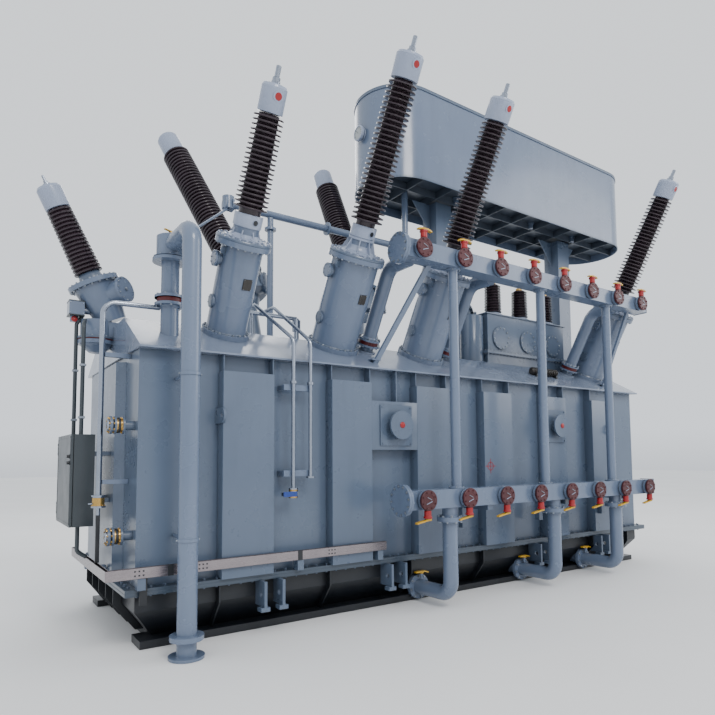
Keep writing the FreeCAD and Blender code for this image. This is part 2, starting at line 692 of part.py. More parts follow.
def down_pipes():
    """Three pipes from the lower header down and back to the lower tank."""
    y, z = -size("head_y"), size("down_z")
    wall = -size("tank_wide") / 2 + 180
    top = size("lower_z") - size("head_side") / 2
    pipes = []
    for x in DOWN_X:
        extras = [disc(142, 44, (x, y, top - 130), (0, 0, 1)), disc(142, 44, (x, -size("tank_wide") / 2 + 5, z),
                                                                  (0, 1, 0))]
        pipe = tube([(x, y, top), (x, y, z), (x, wall, z)], size("down_r"), size("elbow_r")).fuse(extras)
        tank = made("lower_tank").Shape
        pipes.append(pipe.removeSplitter().cut(tank))
    return node("down_pipes", feature(Part.makeCompound(pipes)))


def feed_pipes():
    """Three pipes from the cover up and forward to the upper header."""
    y, z = -size("feed_y"), size("feed_z")
    slope = math.radians(size("cover_tilt"))
    lip_y = size("tank_wide") / 2 + size("lip_over")
    foot = size("lip_high") + (lip_y - size("feed_y")) * math.tan(slope)
    back = -size("head_y") + size("head_side") / 2
    way = Vector(0, -math.sin(slope), math.cos(slope))
    rise = (z - foot) / math.cos(slope)
    pipes = []
    for x in FEED_X:
        start = Vector(x, y, foot)
        extras = [disc(142, 22, start + way * 86, way), disc(142, 22, start + way * 154, way),
                  disc(118, 46, start + way * 120, way)]
        pipe = tube([start - way * 80, start + way * rise, Vector(x, back, z)], size("feed_r"), 200)
        pipe = pipe.fuse(extras)
        roof = made("tank_cover").Shape
        pipes.append(pipe.removeSplitter().cut(roof))
    return node("feed_pipes", feature(Part.makeCompound(pipes)))


def header_struts():
    """Slanting struts from the cover to the upper header, and brackets under the lower one."""
    lip_y = size("tank_wide") / 2 + size("lip_over")
    rise = math.tan(math.radians(size("cover_tilt")))
    y = size("strut_y")
    foot_z = size("lip_high") + (lip_y - y) * rise
    top = size("upper_z") - size("head_side") / 2
    pieces = []
    for x_low, x_high in ((-1250, -860), (3170, 3060)):
        strut = bar(Vector(x_low, -y, foot_z - 30), Vector(x_high, -size("head_y") + 60, top + 30), 60, 34)
        foot = box("120", "100", "16", x_low - 60, -y - 50, foot_z + 15)
        pieces.append(fuse([strut, foot]))
    raw = gather(pieces)
    doc.recompute()
    blockers = [made("tank_cover").Shape, made("upper_header").Shape]
    shapes = [max(piece.Shape.cut(blockers).Solids, key=lambda solid: solid.Volume) for piece in pieces]
    node("header_struts", feature(Part.makeCompound(shapes)))
    low = size("lower_z") - size("head_side") / 2
    brackets = []
    for x in (-110, 1295, 2700):
        arm = box("90", "head_y-tank_wide/2-head_side/2-stiff_deep+160", "60", x - 45, "-head_y-head_side/2+20",
                  "lower_z-head_side/2-60")
        leg = box("70", "70", "240", x - 35, "-tank_wide/2-stiff_deep-70", "lower_z-head_side/2-300")
        brackets.append(fuse([arm, leg]))
    raw = fuse(brackets)
    doc.recompute()
    walls = [made("wall_stiffeners").Shape, made("bell_tank").Shape]
    shapes = [piece.Shape.cut(walls) for piece in brackets]
    return node("header_brackets", feature(Part.makeCompound([solid for shape in shapes
                                                              for solid in shape.Solids])))


# ---------------------------------------------------------------- pipes

def vent_and_main_pipe():
    """The vent standpipe on the cover and the tall pipe that runs down to the ground."""
    x, y, head = size("vent_x"), -size("vent_y"), size("vent_head")
    lip_y = size("tank_wide") / 2 + size("lip_over")
    foot = size("lip_high") + (lip_y - size("vent_y")) * math.tan(math.radians(size("cover_tilt")))
    radius = size("vent_r")
    stand_pipe = Part.makeCylinder(radius, head - foot + 60, Vector(x, y, foot - 60))
    joint = [disc(142, 26, (x, y, 3138), (0, 0, 1)), disc(142, 26, (x, y, 3212), (0, 0, 1)),
             disc(118, 50, (x, y, 3175), (0, 0, 1)), disc(168, 30, (x, y, head), (0, 0, 1)),
             Part.makeCylinder(133, 235, Vector(x, y, head)),
             Part.makeCylinder(40, 40, Vector(x, y, head + 235))]
    roof = made("tank_cover").Shape
    node("vent_pipe", feature(stand_pipe.fuse(joint).cut(roof).removeSplitter()))
    front = -size("big_y")
    top = size("big_z")
    branch = tube([(x, y - 80, top), (x, front, top), (x, front, 24)], radius, 150)
    extras = [disc(150, 24, (x, front, 12), (0, 0, 1)), disc(142, 40, (x, front, 170), (0, 0, 1))]
    vent = made("vent_pipe").Shape
    node("main_pipe", feature(branch.fuse(extras).cut(vent).removeSplitter()))


def main_pipe_clamps():
    """Two clamp arms that hold the tall pipe to the wall."""
    clamps = []
    inner = size("vent_r")
    for z in (2380, 960):
        centre = Vector(size("vent_x"), -size("big_y"), z)
        ring = Part.makeCylinder(inner + 8, 30, centre).cut(Part.makeCylinder(inner + 0.3, 30, centre))
        arm = Part.makeBox(24, size("big_y") - inner - 4 - size("tank_wide") / 2, 30,
                           Vector(size("vent_x") - 12, -size("big_y") + inner + 4, z))
        clamps.append(ring.fuse(arm).removeSplitter())
    BRACKETS.extend(clamps)


def front_oil_pipes():
    """Two thin stainless pipes down the front wall with their valve and rails."""
    y = -size("oil_y")
    near, far = y + 480, y + 820
    lines = []
    for x, low, over in ((-2405, 1350, -2620), (-2211, 1460, -2400)):
        lines.append(tube([(x, y, low), (x, y, 2860), (over, near, 3290), (over, far, 3290)], 19, 90)
                     .fuse([disc(46, 16, (x, y, low + 8), (0, 0, 1)), disc(34, 26, (x, y, 2420), (0, 0, 1))]))
    valve = [disc(44, 84, (-2405, y, 1310), (0, 0, 1)), Part.makeBox(150, 60, 34, Vector(-2520, y - 30, 1290))]
    lines[0] = lines[0].fuse(valve)
    manifold = tube([(-2680, far, 3290), (-1940, far, 3290)], 24, 50)
    posts = [Part.makeCylinder(20, 300, Vector(-2500, far, 3000)),
             Part.makeCylinder(30, 290, Vector(-1940, far, 3000)), disc(48, 130, (-1940, far, 3205), (0, 0, 1))]
    roof = made("tank_cover").Shape
    whole = lines[0].fuse([lines[1], manifold] + posts).cut(roof)
    node("front_oil_pipes", feature(whole.removeSplitter()))
    rails = []
    for z in (2370, 1510):
        rail = Part.makeBox(330, 50, 60, Vector(-2500, y + 19.3, z - 30))
        stub = Part.makeBox(50, -y - 69 - size("tank_wide") / 2, 50,
                            Vector(-2495, y + 69, z - 25))
        rails.append(rail.fuse(stub).removeSplitter())
    BRACKETS.extend(rails)


def oil_line():
    """The oil line along the cover to the conservator, with its isolating valve and post."""
    z = 4690
    line = tube([(-2640, 0, z), (90, 0, z), (90, 0, size("cons_low") + size("cons_recess"))], 45, 160)
    extras = [disc(85, 24, (-2560, 0, z), (1, 0, 0)), disc(85, 24, (-2640, 0, z), (1, 0, 0)),
              Part.makeCylinder(70, 150, Vector(-2600, 0, z - 60)),
              disc(85, 24, (-1230, 0, z), (1, 0, 0)), disc(85, 24, (-150, 0, z), (1, 0, 0))]
    ridge = size("lip_high") + size("cover_run") * math.tan(math.radians(size("cover_tilt")))
    valve, vent = Vector(-2600, 0, z - 50), Vector(size("vent_x"), 60 - size("vent_y"), size("vent_head") + 180)
    drain = Part.makeCylinder(14, (vent - valve).Length, valve, vent - valve)
    blockers = [made("conservator_ribs").Shape, made("vent_pipe").Shape]
    node("oil_line", feature(line.fuse(extras + [drain]).removeSplitter().cut(blockers)))
    post = Part.makeCylinder(38, z - 45 - ridge, Vector(-2050, 0, ridge))
    collar = disc(72, 30, (-2050, 0, z - 190), (0, 0, 1))
    saddle = Part.makeBox(110, 110, 30, Vector(-2105, -55, ridge))
    body = post.fuse([collar, saddle]).cut(made("oil_line").Shape)
    return node("oil_line_post", feature(body.removeSplitter()))


def end_fittings():
    """The stainless pipe, stub valves and bracket bars on the left end."""
    x, y = -4100, 80 - size("vent_y")
    pipe = tube([(x, y, 1330), (x, y, 3110), (size("vent_x") - size("vent_r"), y - 40, 3110)], 24, 120)
    flange = disc(60, 14, (x, y, 1337), (0, 0, 1))
    valve = [disc(50, 90, (x, y, 1285), (0, 0, 1)), disc(60, 14, (x, y, 1240), (0, 0, 1)),
             Part.makeCylinder(16, 80, Vector(x, y, 1165))]
    body = pipe.fuse([flange] + valve).cut(made("vent_pipe").Shape)
    node("end_oil_pipe", feature(max(body.Solids, key=lambda solid: solid.Volume).removeSplitter()))
    wall = -size("tank_len") / 2
    stubs = []
    for z in (1965, 985):
        stubs.append(Part.makeCylinder(42, 200, Vector(wall, -970, z), Vector(-1, 0, 0)).fuse([
            disc(80, 18, (wall - 95, -970, z), (1, 0, 0)), disc(80, 18, (wall - 165, -970, z), (1, 0, 0)),
            disc(80, 20, (wall - 200, -970, z), (1, 0, 0))]).removeSplitter())
    node("end_stub_valves", feature(Part.makeCompound(stubs)))
    BRACKETS.extend(Part.makeBox(wall - x - 24.3, 50, 40, Vector(x + 24.3, y - 25, z)) for z in (1440, 2600))
    return node("pipe_brackets", feature(Part.makeCompound(BRACKETS)))


# ---------------------------------------------------------------- control cabinet

def cabinet():
    """The control cabinet on the left end: an open box, a door, bars to the wall and two conduits."""
    outer = box("cab_deep-door_thick-door_gap", "cab_wide", "cab_high", "cab_x+door_thick+door_gap", "cab_y",
                "cab_z")
    inner = box("cab_deep-door_thick-door_gap-cab_sheet", "cab_wide-2*cab_sheet", "cab_high-2*cab_sheet",
                "cab_x+door_thick+door_gap-1", "cab_y+cab_sheet", "cab_z+cab_sheet")
    shell = cut(outer, inner)
    panel = box("door_thick", "cab_wide", "cab_high", "cab_x", "cab_y", "cab_z")
    grips = [rod("14", "26", "cab_x", "cab_y+60", "cab_z+cab_high*%s" % share, "-x") for share in (0.76, 0.69)]
    axis_x, axis_y = "cab_x+door_thick/2", "cab_y+cab_wide+hinge_off"
    fixed, swinging, bores = [shell], [panel] + grips, []
    for low in ("cab_z+70", "cab_z+cab_high-190"):
        fixed.append(rod("pin_r", "120", axis_x, axis_y, low))
        for level in (low, low + "+92"):
            fixed.append(rod("knuckle_r", "28", axis_x, axis_y, level))
            fixed.append(box("70", "8", "28", axis_x, axis_y + "-12", level))
            fixed.append(box("40", "hinge_off-12", "28", axis_x + "+30", "cab_y+cab_wide", level))
        swinging.append(rod("knuckle_r", "54", axis_x, axis_y, low + "+33"))
        swinging.append(box("8", "hinge_off+30", "54", axis_x + "-knuckle_r", "cab_y+cab_wide-30", low + "+33"))
        bores.append(rod("pin_r+0.3", "120", axis_x, axis_y, low))
    node("cabinet", fuse(fixed))
    node("cabinet_door", cut(fuse(swinging), fuse(bores)))
    wall = "-tank_len/2"
    bars = [box("%s-(cab_x+cab_deep)" % wall, "50", "40", "cab_x+cab_deep", y, z)
            for y, z in (("cab_y+90", 1250), ("cab_y+cab_wide-140", 1250), ("cab_y+90", 1700),
                         ("cab_y+cab_wide-140", 1700))]
    doc.recompute()
    shapes = [item.Shape.cut(made("end_stiffeners").Shape) for item in bars]
    node("cabinet_bars", feature(Part.makeCompound([solid for shape in shapes for solid in shape.Solids])))
    x, roof = -4200, size("cab_z") + size("cab_high")
    conduits = [tube([(x, 0, roof), (x, 0, 3040), (x + 60, 0, 3140)], 19, 40),
                tube([(x, -440, roof), (x, -440, 2960), (x + 60, -130, 3060)], 19, 60)]
    turret = made("end_turret").Shape
    pieces = [max(pipe.cut(turret).Solids, key=lambda solid: solid.Volume) for pipe in conduits]
    return node("cabinet_conduits", feature(Part.makeCompound(pieces)))


def build():
    """Make every sub-part."""
    base_rails()
    trough()
    trough_ribs()
    joint_flanges()
    bell()
    cover()
    wall_stiffeners()
    gussets()
    end_bulges()
    jacking_brackets()
    ports()
    lifting_lugs()
    cable_tray()
    front_bushings()
    rear_bushings()
    end_bushing()
    conservator()
    conservator_posts()
    oil_gauge()
    low_voltage_box()
    header("upper_header", "upper_z")
    header("lower_header", "lower_z")
    node("cooler_valves", gather(valves("upper_z", 1) + valves("lower_z", -1)))
    header_posts()
    down_pipes()
    feed_pipes()
    header_struts()
    vent_and_main_pipe()
    main_pipe_clamps()
    front_oil_pipes()
    oil_line()
    end_fittings()
    cabinet()


def check_and_write():
    """Stop on any failed object or bad shape, then write one file for each sub-part."""
    doc.recompute()
    failed = [item.Label for item in doc.Objects if "Invalid" in item.State or "Error" in item.State]
    if failed:
        raise RuntimeError("failed objects: %s" % failed)
    for item in NODES:
        if item.Shape.isNull() or not item.Shape.isValid() or not item.Shape.Solids:
            raise RuntimeError("bad shape: " + item.Label)
    os.makedirs("parts", exist_ok=True)
    for item in NODES:
        item.Shape.exportStep("parts/%s.step" % item.Label)
    print(len(NODES), "sub-parts written")


build()
check_and_write()
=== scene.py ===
"""Looks of the power transformer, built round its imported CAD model.  Sizes are in metres."""

import math

import bpy
from mathutils import Matrix, Vector


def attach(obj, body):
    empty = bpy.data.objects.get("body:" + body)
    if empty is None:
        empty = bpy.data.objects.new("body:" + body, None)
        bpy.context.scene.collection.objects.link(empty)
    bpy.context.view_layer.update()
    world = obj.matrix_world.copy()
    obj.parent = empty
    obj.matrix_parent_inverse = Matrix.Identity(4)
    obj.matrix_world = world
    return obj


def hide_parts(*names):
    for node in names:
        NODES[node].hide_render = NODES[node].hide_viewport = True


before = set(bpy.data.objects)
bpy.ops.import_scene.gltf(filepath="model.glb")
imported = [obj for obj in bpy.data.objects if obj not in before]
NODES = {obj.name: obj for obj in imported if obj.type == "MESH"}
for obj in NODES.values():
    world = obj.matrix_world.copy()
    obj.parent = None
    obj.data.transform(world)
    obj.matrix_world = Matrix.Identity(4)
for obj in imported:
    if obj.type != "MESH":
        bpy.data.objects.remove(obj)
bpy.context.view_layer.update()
ROOT = "transformer"

# sizes shared with the CAD source, in metres
TANK_X, TANK_Y = 3.85, 1.12
FLANGE_LOW, FLANGE_TOP = 0.49, 0.55
LIP_HIGH, LIP_OVER, SLOPE, RUN = 2.667, 0.12, math.radians(29.2), 0.644
RIDGE_Z = LIP_HIGH + RUN * math.tan(SLOPE)
FACE_Y = -TANK_Y - 0.14
TURRET_X, TURRET_Y = (-2.90, -1.59, -0.26, 3.27), 0.72
REAR_X, REAR_Y, REAR_HEAD = (-2.22, -0.335, 1.55), 0.50, 4.00
REAR_FAN = ((35, 30), (8, 23), (-30, 28))
END_HEAD = Vector((-4.036, 0, 3.462))
PLATE_Y, PLATE_Z = 0.05, 0.055
HEAD_Y, HEAD_HALF, HEAD_LEFT, HEAD_RIGHT, BLANK_OUT = 1.68, 0.10, -1.31, 3.30, 0.054
PIPE_R, JOINT_R, JOINT_THICK = 0.084, 0.142, 0.022
UPPER_Z, LOWER_Z = 3.905, 1.21
VALVE_X = [-1.12 + 0.6 * i for i in range(8)]
DOWN_X, FEED_X, POST_X = (-0.67, 1.12, 2.469), (-1.12, 0.17, 2.77), (-0.56, 0.97, 2.407)
DOWN_Z, FEED_Y = 0.158, 0.72
VENT = Vector((-3.52, -0.88, 0))
BIG = Vector((-3.52, -1.52, 0))
STUB_Y, STUB_Z = -0.97, (1.965, 0.985)
TERMINAL_X, TERMINAL_Z = -4.28, 3.1925
COCK = (-2.405, -1.30, 1.31)
DOOR_X, DOOR_Y, DOOR_Z = -4.290, (-0.50, 0.34), (1.04, 1.90)
LV_X, LV_FRONT, LV_DISC_Z, LV_TOP = [1.46 + 0.6 * n for n in range(3)], -0.54, 3.425, 3.836
TRAY_Y = -1.30
CONS_LEFT, CONS_RIGHT, CONS_R = -0.03, 4.30, 0.62
CAMERA_AT, YAW, PITCH, ROLL = (-5.162, -6.569, 1.66), 34.993, 4.105, -0.452


def shift(by):
    """A placement moved by an offset."""
    return Matrix.Translation(by)


def spin(angle, axis):
    """A placement turned about an axis."""
    return Matrix.Rotation(angle, 4, axis)


def slope_z(y):
    """Height of the cover's sloping side at a distance from the middle."""
    return LIP_HIGH + (TANK_Y + LIP_OVER - abs(y)) * math.tan(SLOPE)


# ---------------------------------------------------------------- mesh tools

class Build:
    """Gathers faces with their materials, then makes one piece of them."""

    def __init__(self):
        self.points, self.faces, self.slots, self.mats = [], [], [], []

    def add(self, points, faces, mat, place=None):
        """Take in faces with one material."""
        base = len(self.points)
        if mat not in self.mats:
            self.mats.append(mat)
        index = self.mats.index(mat)
        if place is not None:
            points = [place @ Vector(p) for p in points]
        self.points.extend(tuple(p) for p in points)
        self.faces.extend(tuple(base + i for i in face) for face in faces)
        self.slots.extend([index] * len(faces))

    def lathe(self, profile, mat, place=None, segments=32, caps=True):
        """Turn (radius, height) points about the local Z axis, low to high."""
        points, faces = [], []
        for r, z in profile:
            for s in range(segments):
                a = math.tau * s / segments
                points.append((r * math.cos(a), r * math.sin(a), z))
        for k in range(len(profile) - 1):
            for s in range(segments):
                t = (s + 1) % segments
                a, b = k * segments, (k + 1) * segments
                faces.append((a + s, a + t, b + t, b + s))
        if caps:
            if profile[0][0] > 1e-5:
                faces.append(tuple(reversed(range(segments))))
            if profile[-1][0] > 1e-5:
                faces.append(tuple((len(profile) - 1) * segments + s for s in range(segments)))
        self.add(points, faces, mat, place)

    def block(self, low, high, mat, place=None, soft=0.003):
        """A block with chamfered edges between two corners."""
        low, high = Vector(low), Vector(high)
        c = min(soft, min(high - low) * 0.3)
        points, faces = [], []
        half = (high - low) / 2
        mid = (high + low) / 2
        signs = [(i, j, k) for i in (-1, 1) for j in (-1, 1) for k in (-1, 1)]
        index = {}
        for sign in signs:
            for axis in range(3):
                inset = [half[n] - (0 if n == axis else c) for n in range(3)]
                index[sign, axis] = len(points)
                points.append(mid + Vector(sign[n] * inset[n] for n in range(3)))
        for axis in range(3):
            u, v = (axis + 1) % 3, (axis + 2) % 3
            for s in (-1, 1):
                ring = []
                for a, b in ((-1, -1), (1, -1), (1, 1), (-1, 1)):
                    sign = [0, 0, 0]
                    sign[axis], sign[u], sign[v] = s, a, b
                    ring.append(index[tuple(sign), axis])
                faces.append(tuple(ring if s > 0 else reversed(ring)))
        for axis in range(3):
            u, v = (axis + 1) % 3, (axis + 2) % 3
            for a in (-1, 1):
                for b in (-1, 1):
                    ends = []
                    for s in (-1, 1):
                        sign = [0, 0, 0]
                        sign[axis], sign[u], sign[v] = s, a, b
                        ends.append((index[tuple(sign), u], index[tuple(sign), v]))
                    quad = (ends[0][0], ends[1][0], ends[1][1], ends[0][1])
                    faces.append(quad if a * b > 0 else tuple(reversed(quad)))
        for sign in signs:
            tri = [index[sign, n] for n in range(3)]
            faces.append(tuple(tri if sign[0] * sign[1] * sign[2] > 0 else reversed(tri)))
        self.add(points, faces, mat, place)

    def bolt(self, place, mat, size=0.012, high=0.010, washer=True):
        """A hexagon head on a washer, standing on the local Z axis."""
        if washer:
            self.lathe([(size * 1.35, 0), (size * 1.35, high * 0.22)], mat, place, 10)
        start = high * 0.22 if washer else 0
        self.lathe([(size, start), (size, high), (size * 0.8, high * 1.15)], mat, place, 6)

    def bolt_ring(self, place, radius, count, mat, size=0.012, high=0.012, start=0.0):
        """Bolts round the local Z axis."""
        for n in range(count):
            a = math.tau * n / count + start
            spot = place @ shift((radius * math.cos(a), radius * math.sin(a), 0))
            self.bolt(spot @ spin(a, "Z"), mat, size, high)

    def tube(self, points, radius, mat, bend=0.0, segments=14, caps=True):
        """A round pipe through points, its corners rounded to a bend radius."""
        line = rounded([Vector(p) for p in points], bend)
        rings = []
        up = None
        for n, p in enumerate(line):
            if n == 0:
                way = line[1] - p
            elif n == len(line) - 1:
                way = p - line[n - 1]
            else:
                way = (line[n + 1] - p).normalized() + (p - line[n - 1]).normalized()
            way.normalize()
            if up is None:
                up = way.orthogonal().normalized()
            up = (up - way * up.dot(way)).normalized()
            side = way.cross(up)
            rings.append([p + (up * math.cos(a) + side * math.sin(a)) * radius
                          for a in (math.tau * s / segments for s in range(segments))])
        flat = [p for ring in rings for p in ring]
        faces = []
        for k in range(len(rings) - 1):
            for s in range(segments):
                t = (s + 1) % segments
                faces.append((k * segments + s, k * segments + t, (k + 1) * segments + t,
                              (k + 1) * segments + s))
        if caps:
            faces.append(tuple(reversed(range(segments))))
            faces.append(tuple((len(rings) - 1) * segments + s for s in range(segments)))
        self.add(flat, faces, mat)

    def plate(self, outline, thick, mat, place=None):
        """A flat plate from an outline in the local XY plane."""
        n = len(outline)
        points = [(x, y, 0) for x, y in outline] + [(x, y, thick) for x, y in outline]
        faces = [tuple(reversed(range(n))), tuple(range(n, 2 * n))]
        faces += [(i, (i + 1) % n, n + (i + 1) % n, n + i) for i in range(n)]
        self.add(points, faces, mat, place)

    def piece(self, name, slot, replaces=(), body=ROOT, sharp=32, bevel=0.0):
        """Make the piece, let it ride on its body and hide the CAD parts it replaces."""
        mesh = bpy.data.meshes.new(name)
        mesh.from_pydata(self.points, [], self.faces)
        for mat in self.mats:
            mesh.materials.append(mat)
        mesh.polygons.foreach_set("material_index", self.slots)
        mesh.validate()
        mesh.shade_smooth()
        mesh.set_sharp_from_angle(angle=math.radians(sharp))
        item = bpy.data.objects.new(name, mesh)
        bpy.context.scene.collection.objects.link(item)
        if bevel:
            soft = item.modifiers.new("soften", "BEVEL")
            soft.width, soft.segments, soft.limit_method = bevel, 2, "ANGLE"
            soft.angle_limit = math.radians(40)
        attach(item, body)
        if replaces:
            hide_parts(*replaces)
        return item


def rounded(points, bend):
    """The points of a line with its corners turned into arcs."""
    if bend <= 0 or len(points) < 3:
        return points
    line = [points[0]]
    for before, corner, after in zip(points, points[1:], points[2:]):
        way_in, way_out = (corner - before).normalized(), (after - corner).normalized()
        turn = way_in.angle(way_out)
        if turn < 1e-3:
            line.append(corner)
            continue
        back = bend * math.tan(turn / 2)
        centre = corner + (way_out - way_in).normalized() * (bend / math.cos(turn / 2))
        start = corner - way_in * back - centre
        axis = way_in.cross(way_out).normalized()
        steps = max(3, int(turn / math.radians(9)))
        for n in range(steps + 1):
            line.append(centre + Matrix.Rotation(turn * n / steps, 3, axis) @ start)
    line.append(points[-1])
    return line


def along(way, at=(0, 0, 0)):
    """A placement whose local Z axis runs along a direction."""
    return shift(Vector(at)) @ Vector(way).to_track_quat("Z", "Y").to_matrix().to_4x4()


# ---------------------------------------------------------------- materials

def shader(name):
    """A new material with its node tree and its surface node."""
    mat = bpy.data.materials.new(name)
    mat.use_nodes = True
    tree = mat.node_tree
    return mat, tree, tree.nodes["Principled BSDF"]


def noise(tree, scale, detail=4.0, rough=0.55, stretch=(1, 1, 1)):
    """A noise pattern in the object's own metres."""
    where = tree.nodes.new("ShaderNodeTexCoord")
    mapping = tree.nodes.new("ShaderNodeMapping")
    mapping.inputs["Scale"].default_value = stretch
    pattern = tree.nodes.new("ShaderNodeTexNoise")
    pattern.inputs["Scale"].default_value = scale
    pattern.inputs["Detail"].default_value = detail
    pattern.inputs["Roughness"].default_value = rough
    tree.links.new(where.outputs["Object"], mapping.inputs["Vector"])
    tree.links.new(mapping.outputs["Vector"], pattern.inputs["Vector"])
    return pattern.outputs["Fac"]


def spread(tree, value, low, high, to_low, to_high):
    """Map a stretch of values onto another."""
    node = tree.nodes.new("ShaderNodeMapRange")
    for key, number in (("From Min", low), ("From Max", high), ("To Min", to_low), ("To Max", to_high)):
        node.inputs[key].default_value = number
    tree.links.new(value, node.inputs["Value"])
    return node.outputs["Result"]


def mix(tree, factor, first, second, way="MIX"):
    """Mix two colours, each of them a value or another node's output."""
    node = tree.nodes.new("ShaderNodeMix")
    node.data_type, node.blend_type = "RGBA", way
    for key, value in (("Factor", factor), ("A", first), ("B", second)):
        socket = next(s for s in node.inputs if s.name == key and (
            s.type == ("VALUE" if key == "Factor" else "RGBA")))
        if isinstance(value, (int, float)):
            socket.default_value = value
        elif isinstance(value, tuple):
            socket.default_value = (*value, 1)
        else:
            tree.links.new(value, socket)
    return next(s for s in node.outputs if s.type == "RGBA")


def bump(tree, value, strength, distance=0.001):
    """Fine relief from a pattern."""
    node = tree.nodes.new("ShaderNodeBump")
    node.inputs["Strength"].default_value = strength
    node.inputs["Distance"].default_value = distance
    tree.links.new(value, node.inputs["Height"])
    return node.outputs["Normal"]


def enamel(name, colour, shade, rough=(0.22, 0.36), coat=0.35, hollow_shade=0.30, peel=0.045):
    """Sprayed enamel: slow tone changes, rain streaks, painted shade darkening its corners and hollows, and
    fine orange peel.
    """
    mat, tree, out = shader(name)
    slow = spread(tree, noise(tree, 0.9, 3), 0.35, 0.65, 0.0, 1.0)
    streak = spread(tree, noise(tree, 7.0, 5, 0.6, (1, 1, 0.10)), 0.50, 0.78, 0.0, 0.5)
    tone = mix(tree, slow, colour, shade)
    tone = mix(tree, streak, tone, tuple(c * 0.82 for c in shade))
    # painted shade: ambient occlusion darkens the tone in corners and hollows, standing in for the shade that
    # falls there
    corner = tree.nodes.new("ShaderNodeAmbientOcclusion")
    corner.samples = 6
    corner.inputs["Distance"].default_value = 0.16
    hollow_shade_mask = spread(tree, corner.outputs["AO"], 0.35, 0.95, hollow_shade, 0.0)
    tone = mix(tree, hollow_shade_mask, tone, tuple(c * 0.38 for c in shade))
    tree.links.new(tone, out.inputs["Base Color"])
    tree.links.new(spread(tree, noise(tree, 3.5, 5), 0.3, 0.7, *rough), out.inputs["Roughness"])
    tree.links.new(bump(tree, noise(tree, 140, 2), peel, 0.0006), out.inputs["Normal"])
    out.inputs["Coat Weight"].default_value = coat
    out.inputs["Coat Roughness"].default_value = 0.12
    return mat


def glaze(name, colour, shade, rough=0.16):
    """Glazed porcelain: deep brown with a hard gloss, made lighter on upward-facing faces."""
    mat, tree, out = shader(name)
    tone = mix(tree, spread(tree, noise(tree, 5, 4), 0.35, 0.65, 0, 1), colour, shade)
    # tone made lighter on upward-facing faces, following the surface's facing
    facing = tree.nodes.new("ShaderNodeNewGeometry")
    split = tree.nodes.new("ShaderNodeSeparateXYZ")
    tree.links.new(facing.outputs["Normal"], split.inputs["Vector"])
    upward_lift = spread(tree, split.outputs["Z"], 0.35, 1.0, 0.0, 0.10)
    tone = mix(tree, upward_lift, tone, (0.10, 0.09, 0.10))
    tree.links.new(tone, out.inputs["Base Color"])
    tree.links.new(spread(tree, noise(tree, 18, 3), 0.3, 0.7, rough, rough + 0.12), out.inputs["Roughness"])
    tree.links.new(bump(tree, noise(tree, 60, 2), 0.06, 0.001), out.inputs["Normal"])
    out.inputs["Coat Weight"].default_value = 0.15
    out.inputs["Coat Roughness"].default_value = 0.08
    out.inputs["Specular IOR Level"].default_value = 0.36
    return mat


def metal(name, colour, shade, rough, brushed=(1, 1, 0.05), scale=240):
    """Bare metal with a drawn or brushed finish."""
    mat, tree, out = shader(name)
    tree.links.new(mix(tree, noise(tree, 6, 4), colour, shade), out.inputs["Base Color"])
    grain = noise(tree, scale, 3, 0.6, brushed)
    tree.links.new(spread(tree, grain, 0.3, 0.7, rough - 0.06, rough + 0.10), out.inputs["Roughness"])
    tree.links.new(bump(tree, grain, 0.08, 0.0004), out.inputs["Normal"])
    out.inputs["Metallic"].default_value = 1.0
    return mat


PAINT = enamel("grey_enamel", (0.098, 0.132, 0.192), (0.086, 0.118, 0.174), (0.24, 0.36), 0.18)
# COVER is a lighter copy of the grey enamel: painted sky reflection on the sloping cover
COVER = enamel("cover_lit_enamel", (0.190, 0.230, 0.310), (0.165, 0.205, 0.285), (0.16, 0.28), 0.5, 0.45)
# LOWER is a darker copy of the grey enamel: painted shade on the lower tank, its ribs and base rails
LOWER = enamel("lower_shaded_enamel", (0.010, 0.013, 0.018), (0.007, 0.009, 0.013), (0.34, 0.5), 0.05, 0.6)
# LEDGE is a darker copy of the grey enamel: painted shade on the joint flanges
LEDGE = enamel("ledge_shaded_enamel", (0.050, 0.070, 0.098), (0.042, 0.060, 0.085), (0.26, 0.38), 0.15, 0.4)
# UNDER is a darker copy of the grey enamel: painted shade on the conservator's underside and ribs
UNDER = enamel("underside_shaded_enamel", (0.060, 0.076, 0.100), (0.050, 0.064, 0.086), (0.30, 0.42), 0.1, 0.25)
# PIPE is a lighter copy of the grey enamel: painted daylight and sky reflection on pipes, headers, turrets
# and the conservator wall
PIPE = enamel("pipe_lit_enamel", (0.132, 0.172, 0.250), (0.116, 0.155, 0.232), (0.20, 0.30), 0.28, 0.25)
PALE = enamel("pale_enamel", (0.30, 0.345, 0.45), (0.26, 0.305, 0.41), (0.22, 0.34), 0.2, 0.25)
CABINET = enamel("cabinet_enamel", (0.036, 0.046, 0.054), (0.030, 0.040, 0.047), (0.32, 0.45), 0.08)
DARK = enamel("dark_enamel", (0.014, 0.016, 0.020), (0.010, 0.012, 0.015), (0.35, 0.5), 0.05)
RUST_RED = enamel("valve_enamel", (0.070, 0.008, 0.012), (0.052, 0.006, 0.009), (0.42, 0.52), 0.0, 0.2)
RED = enamel("red_enamel", (0.34, 0.008, 0.010), (0.27, 0.006, 0.008), (0.30, 0.44), 0.08, 0.2)
GASKET = enamel("gasket_red", (0.130, 0.006, 0.008), (0.095, 0.005, 0.006), (0.35, 0.5), 0.0, 0.2)
YELLOW = enamel("yellow_enamel", (0.62, 0.36, 0.012), (0.54, 0.30, 0.010), (0.28, 0.42), 0.15, 0.2)
BLUE = enamel("blue_enamel", (0.012, 0.05, 0.28), (0.010, 0.04, 0.22), (0.3, 0.4), 0.1, 0.2)
PORCELAIN = glaze("brown_glaze", (0.030, 0.019, 0.026), (0.020, 0.012, 0.017))
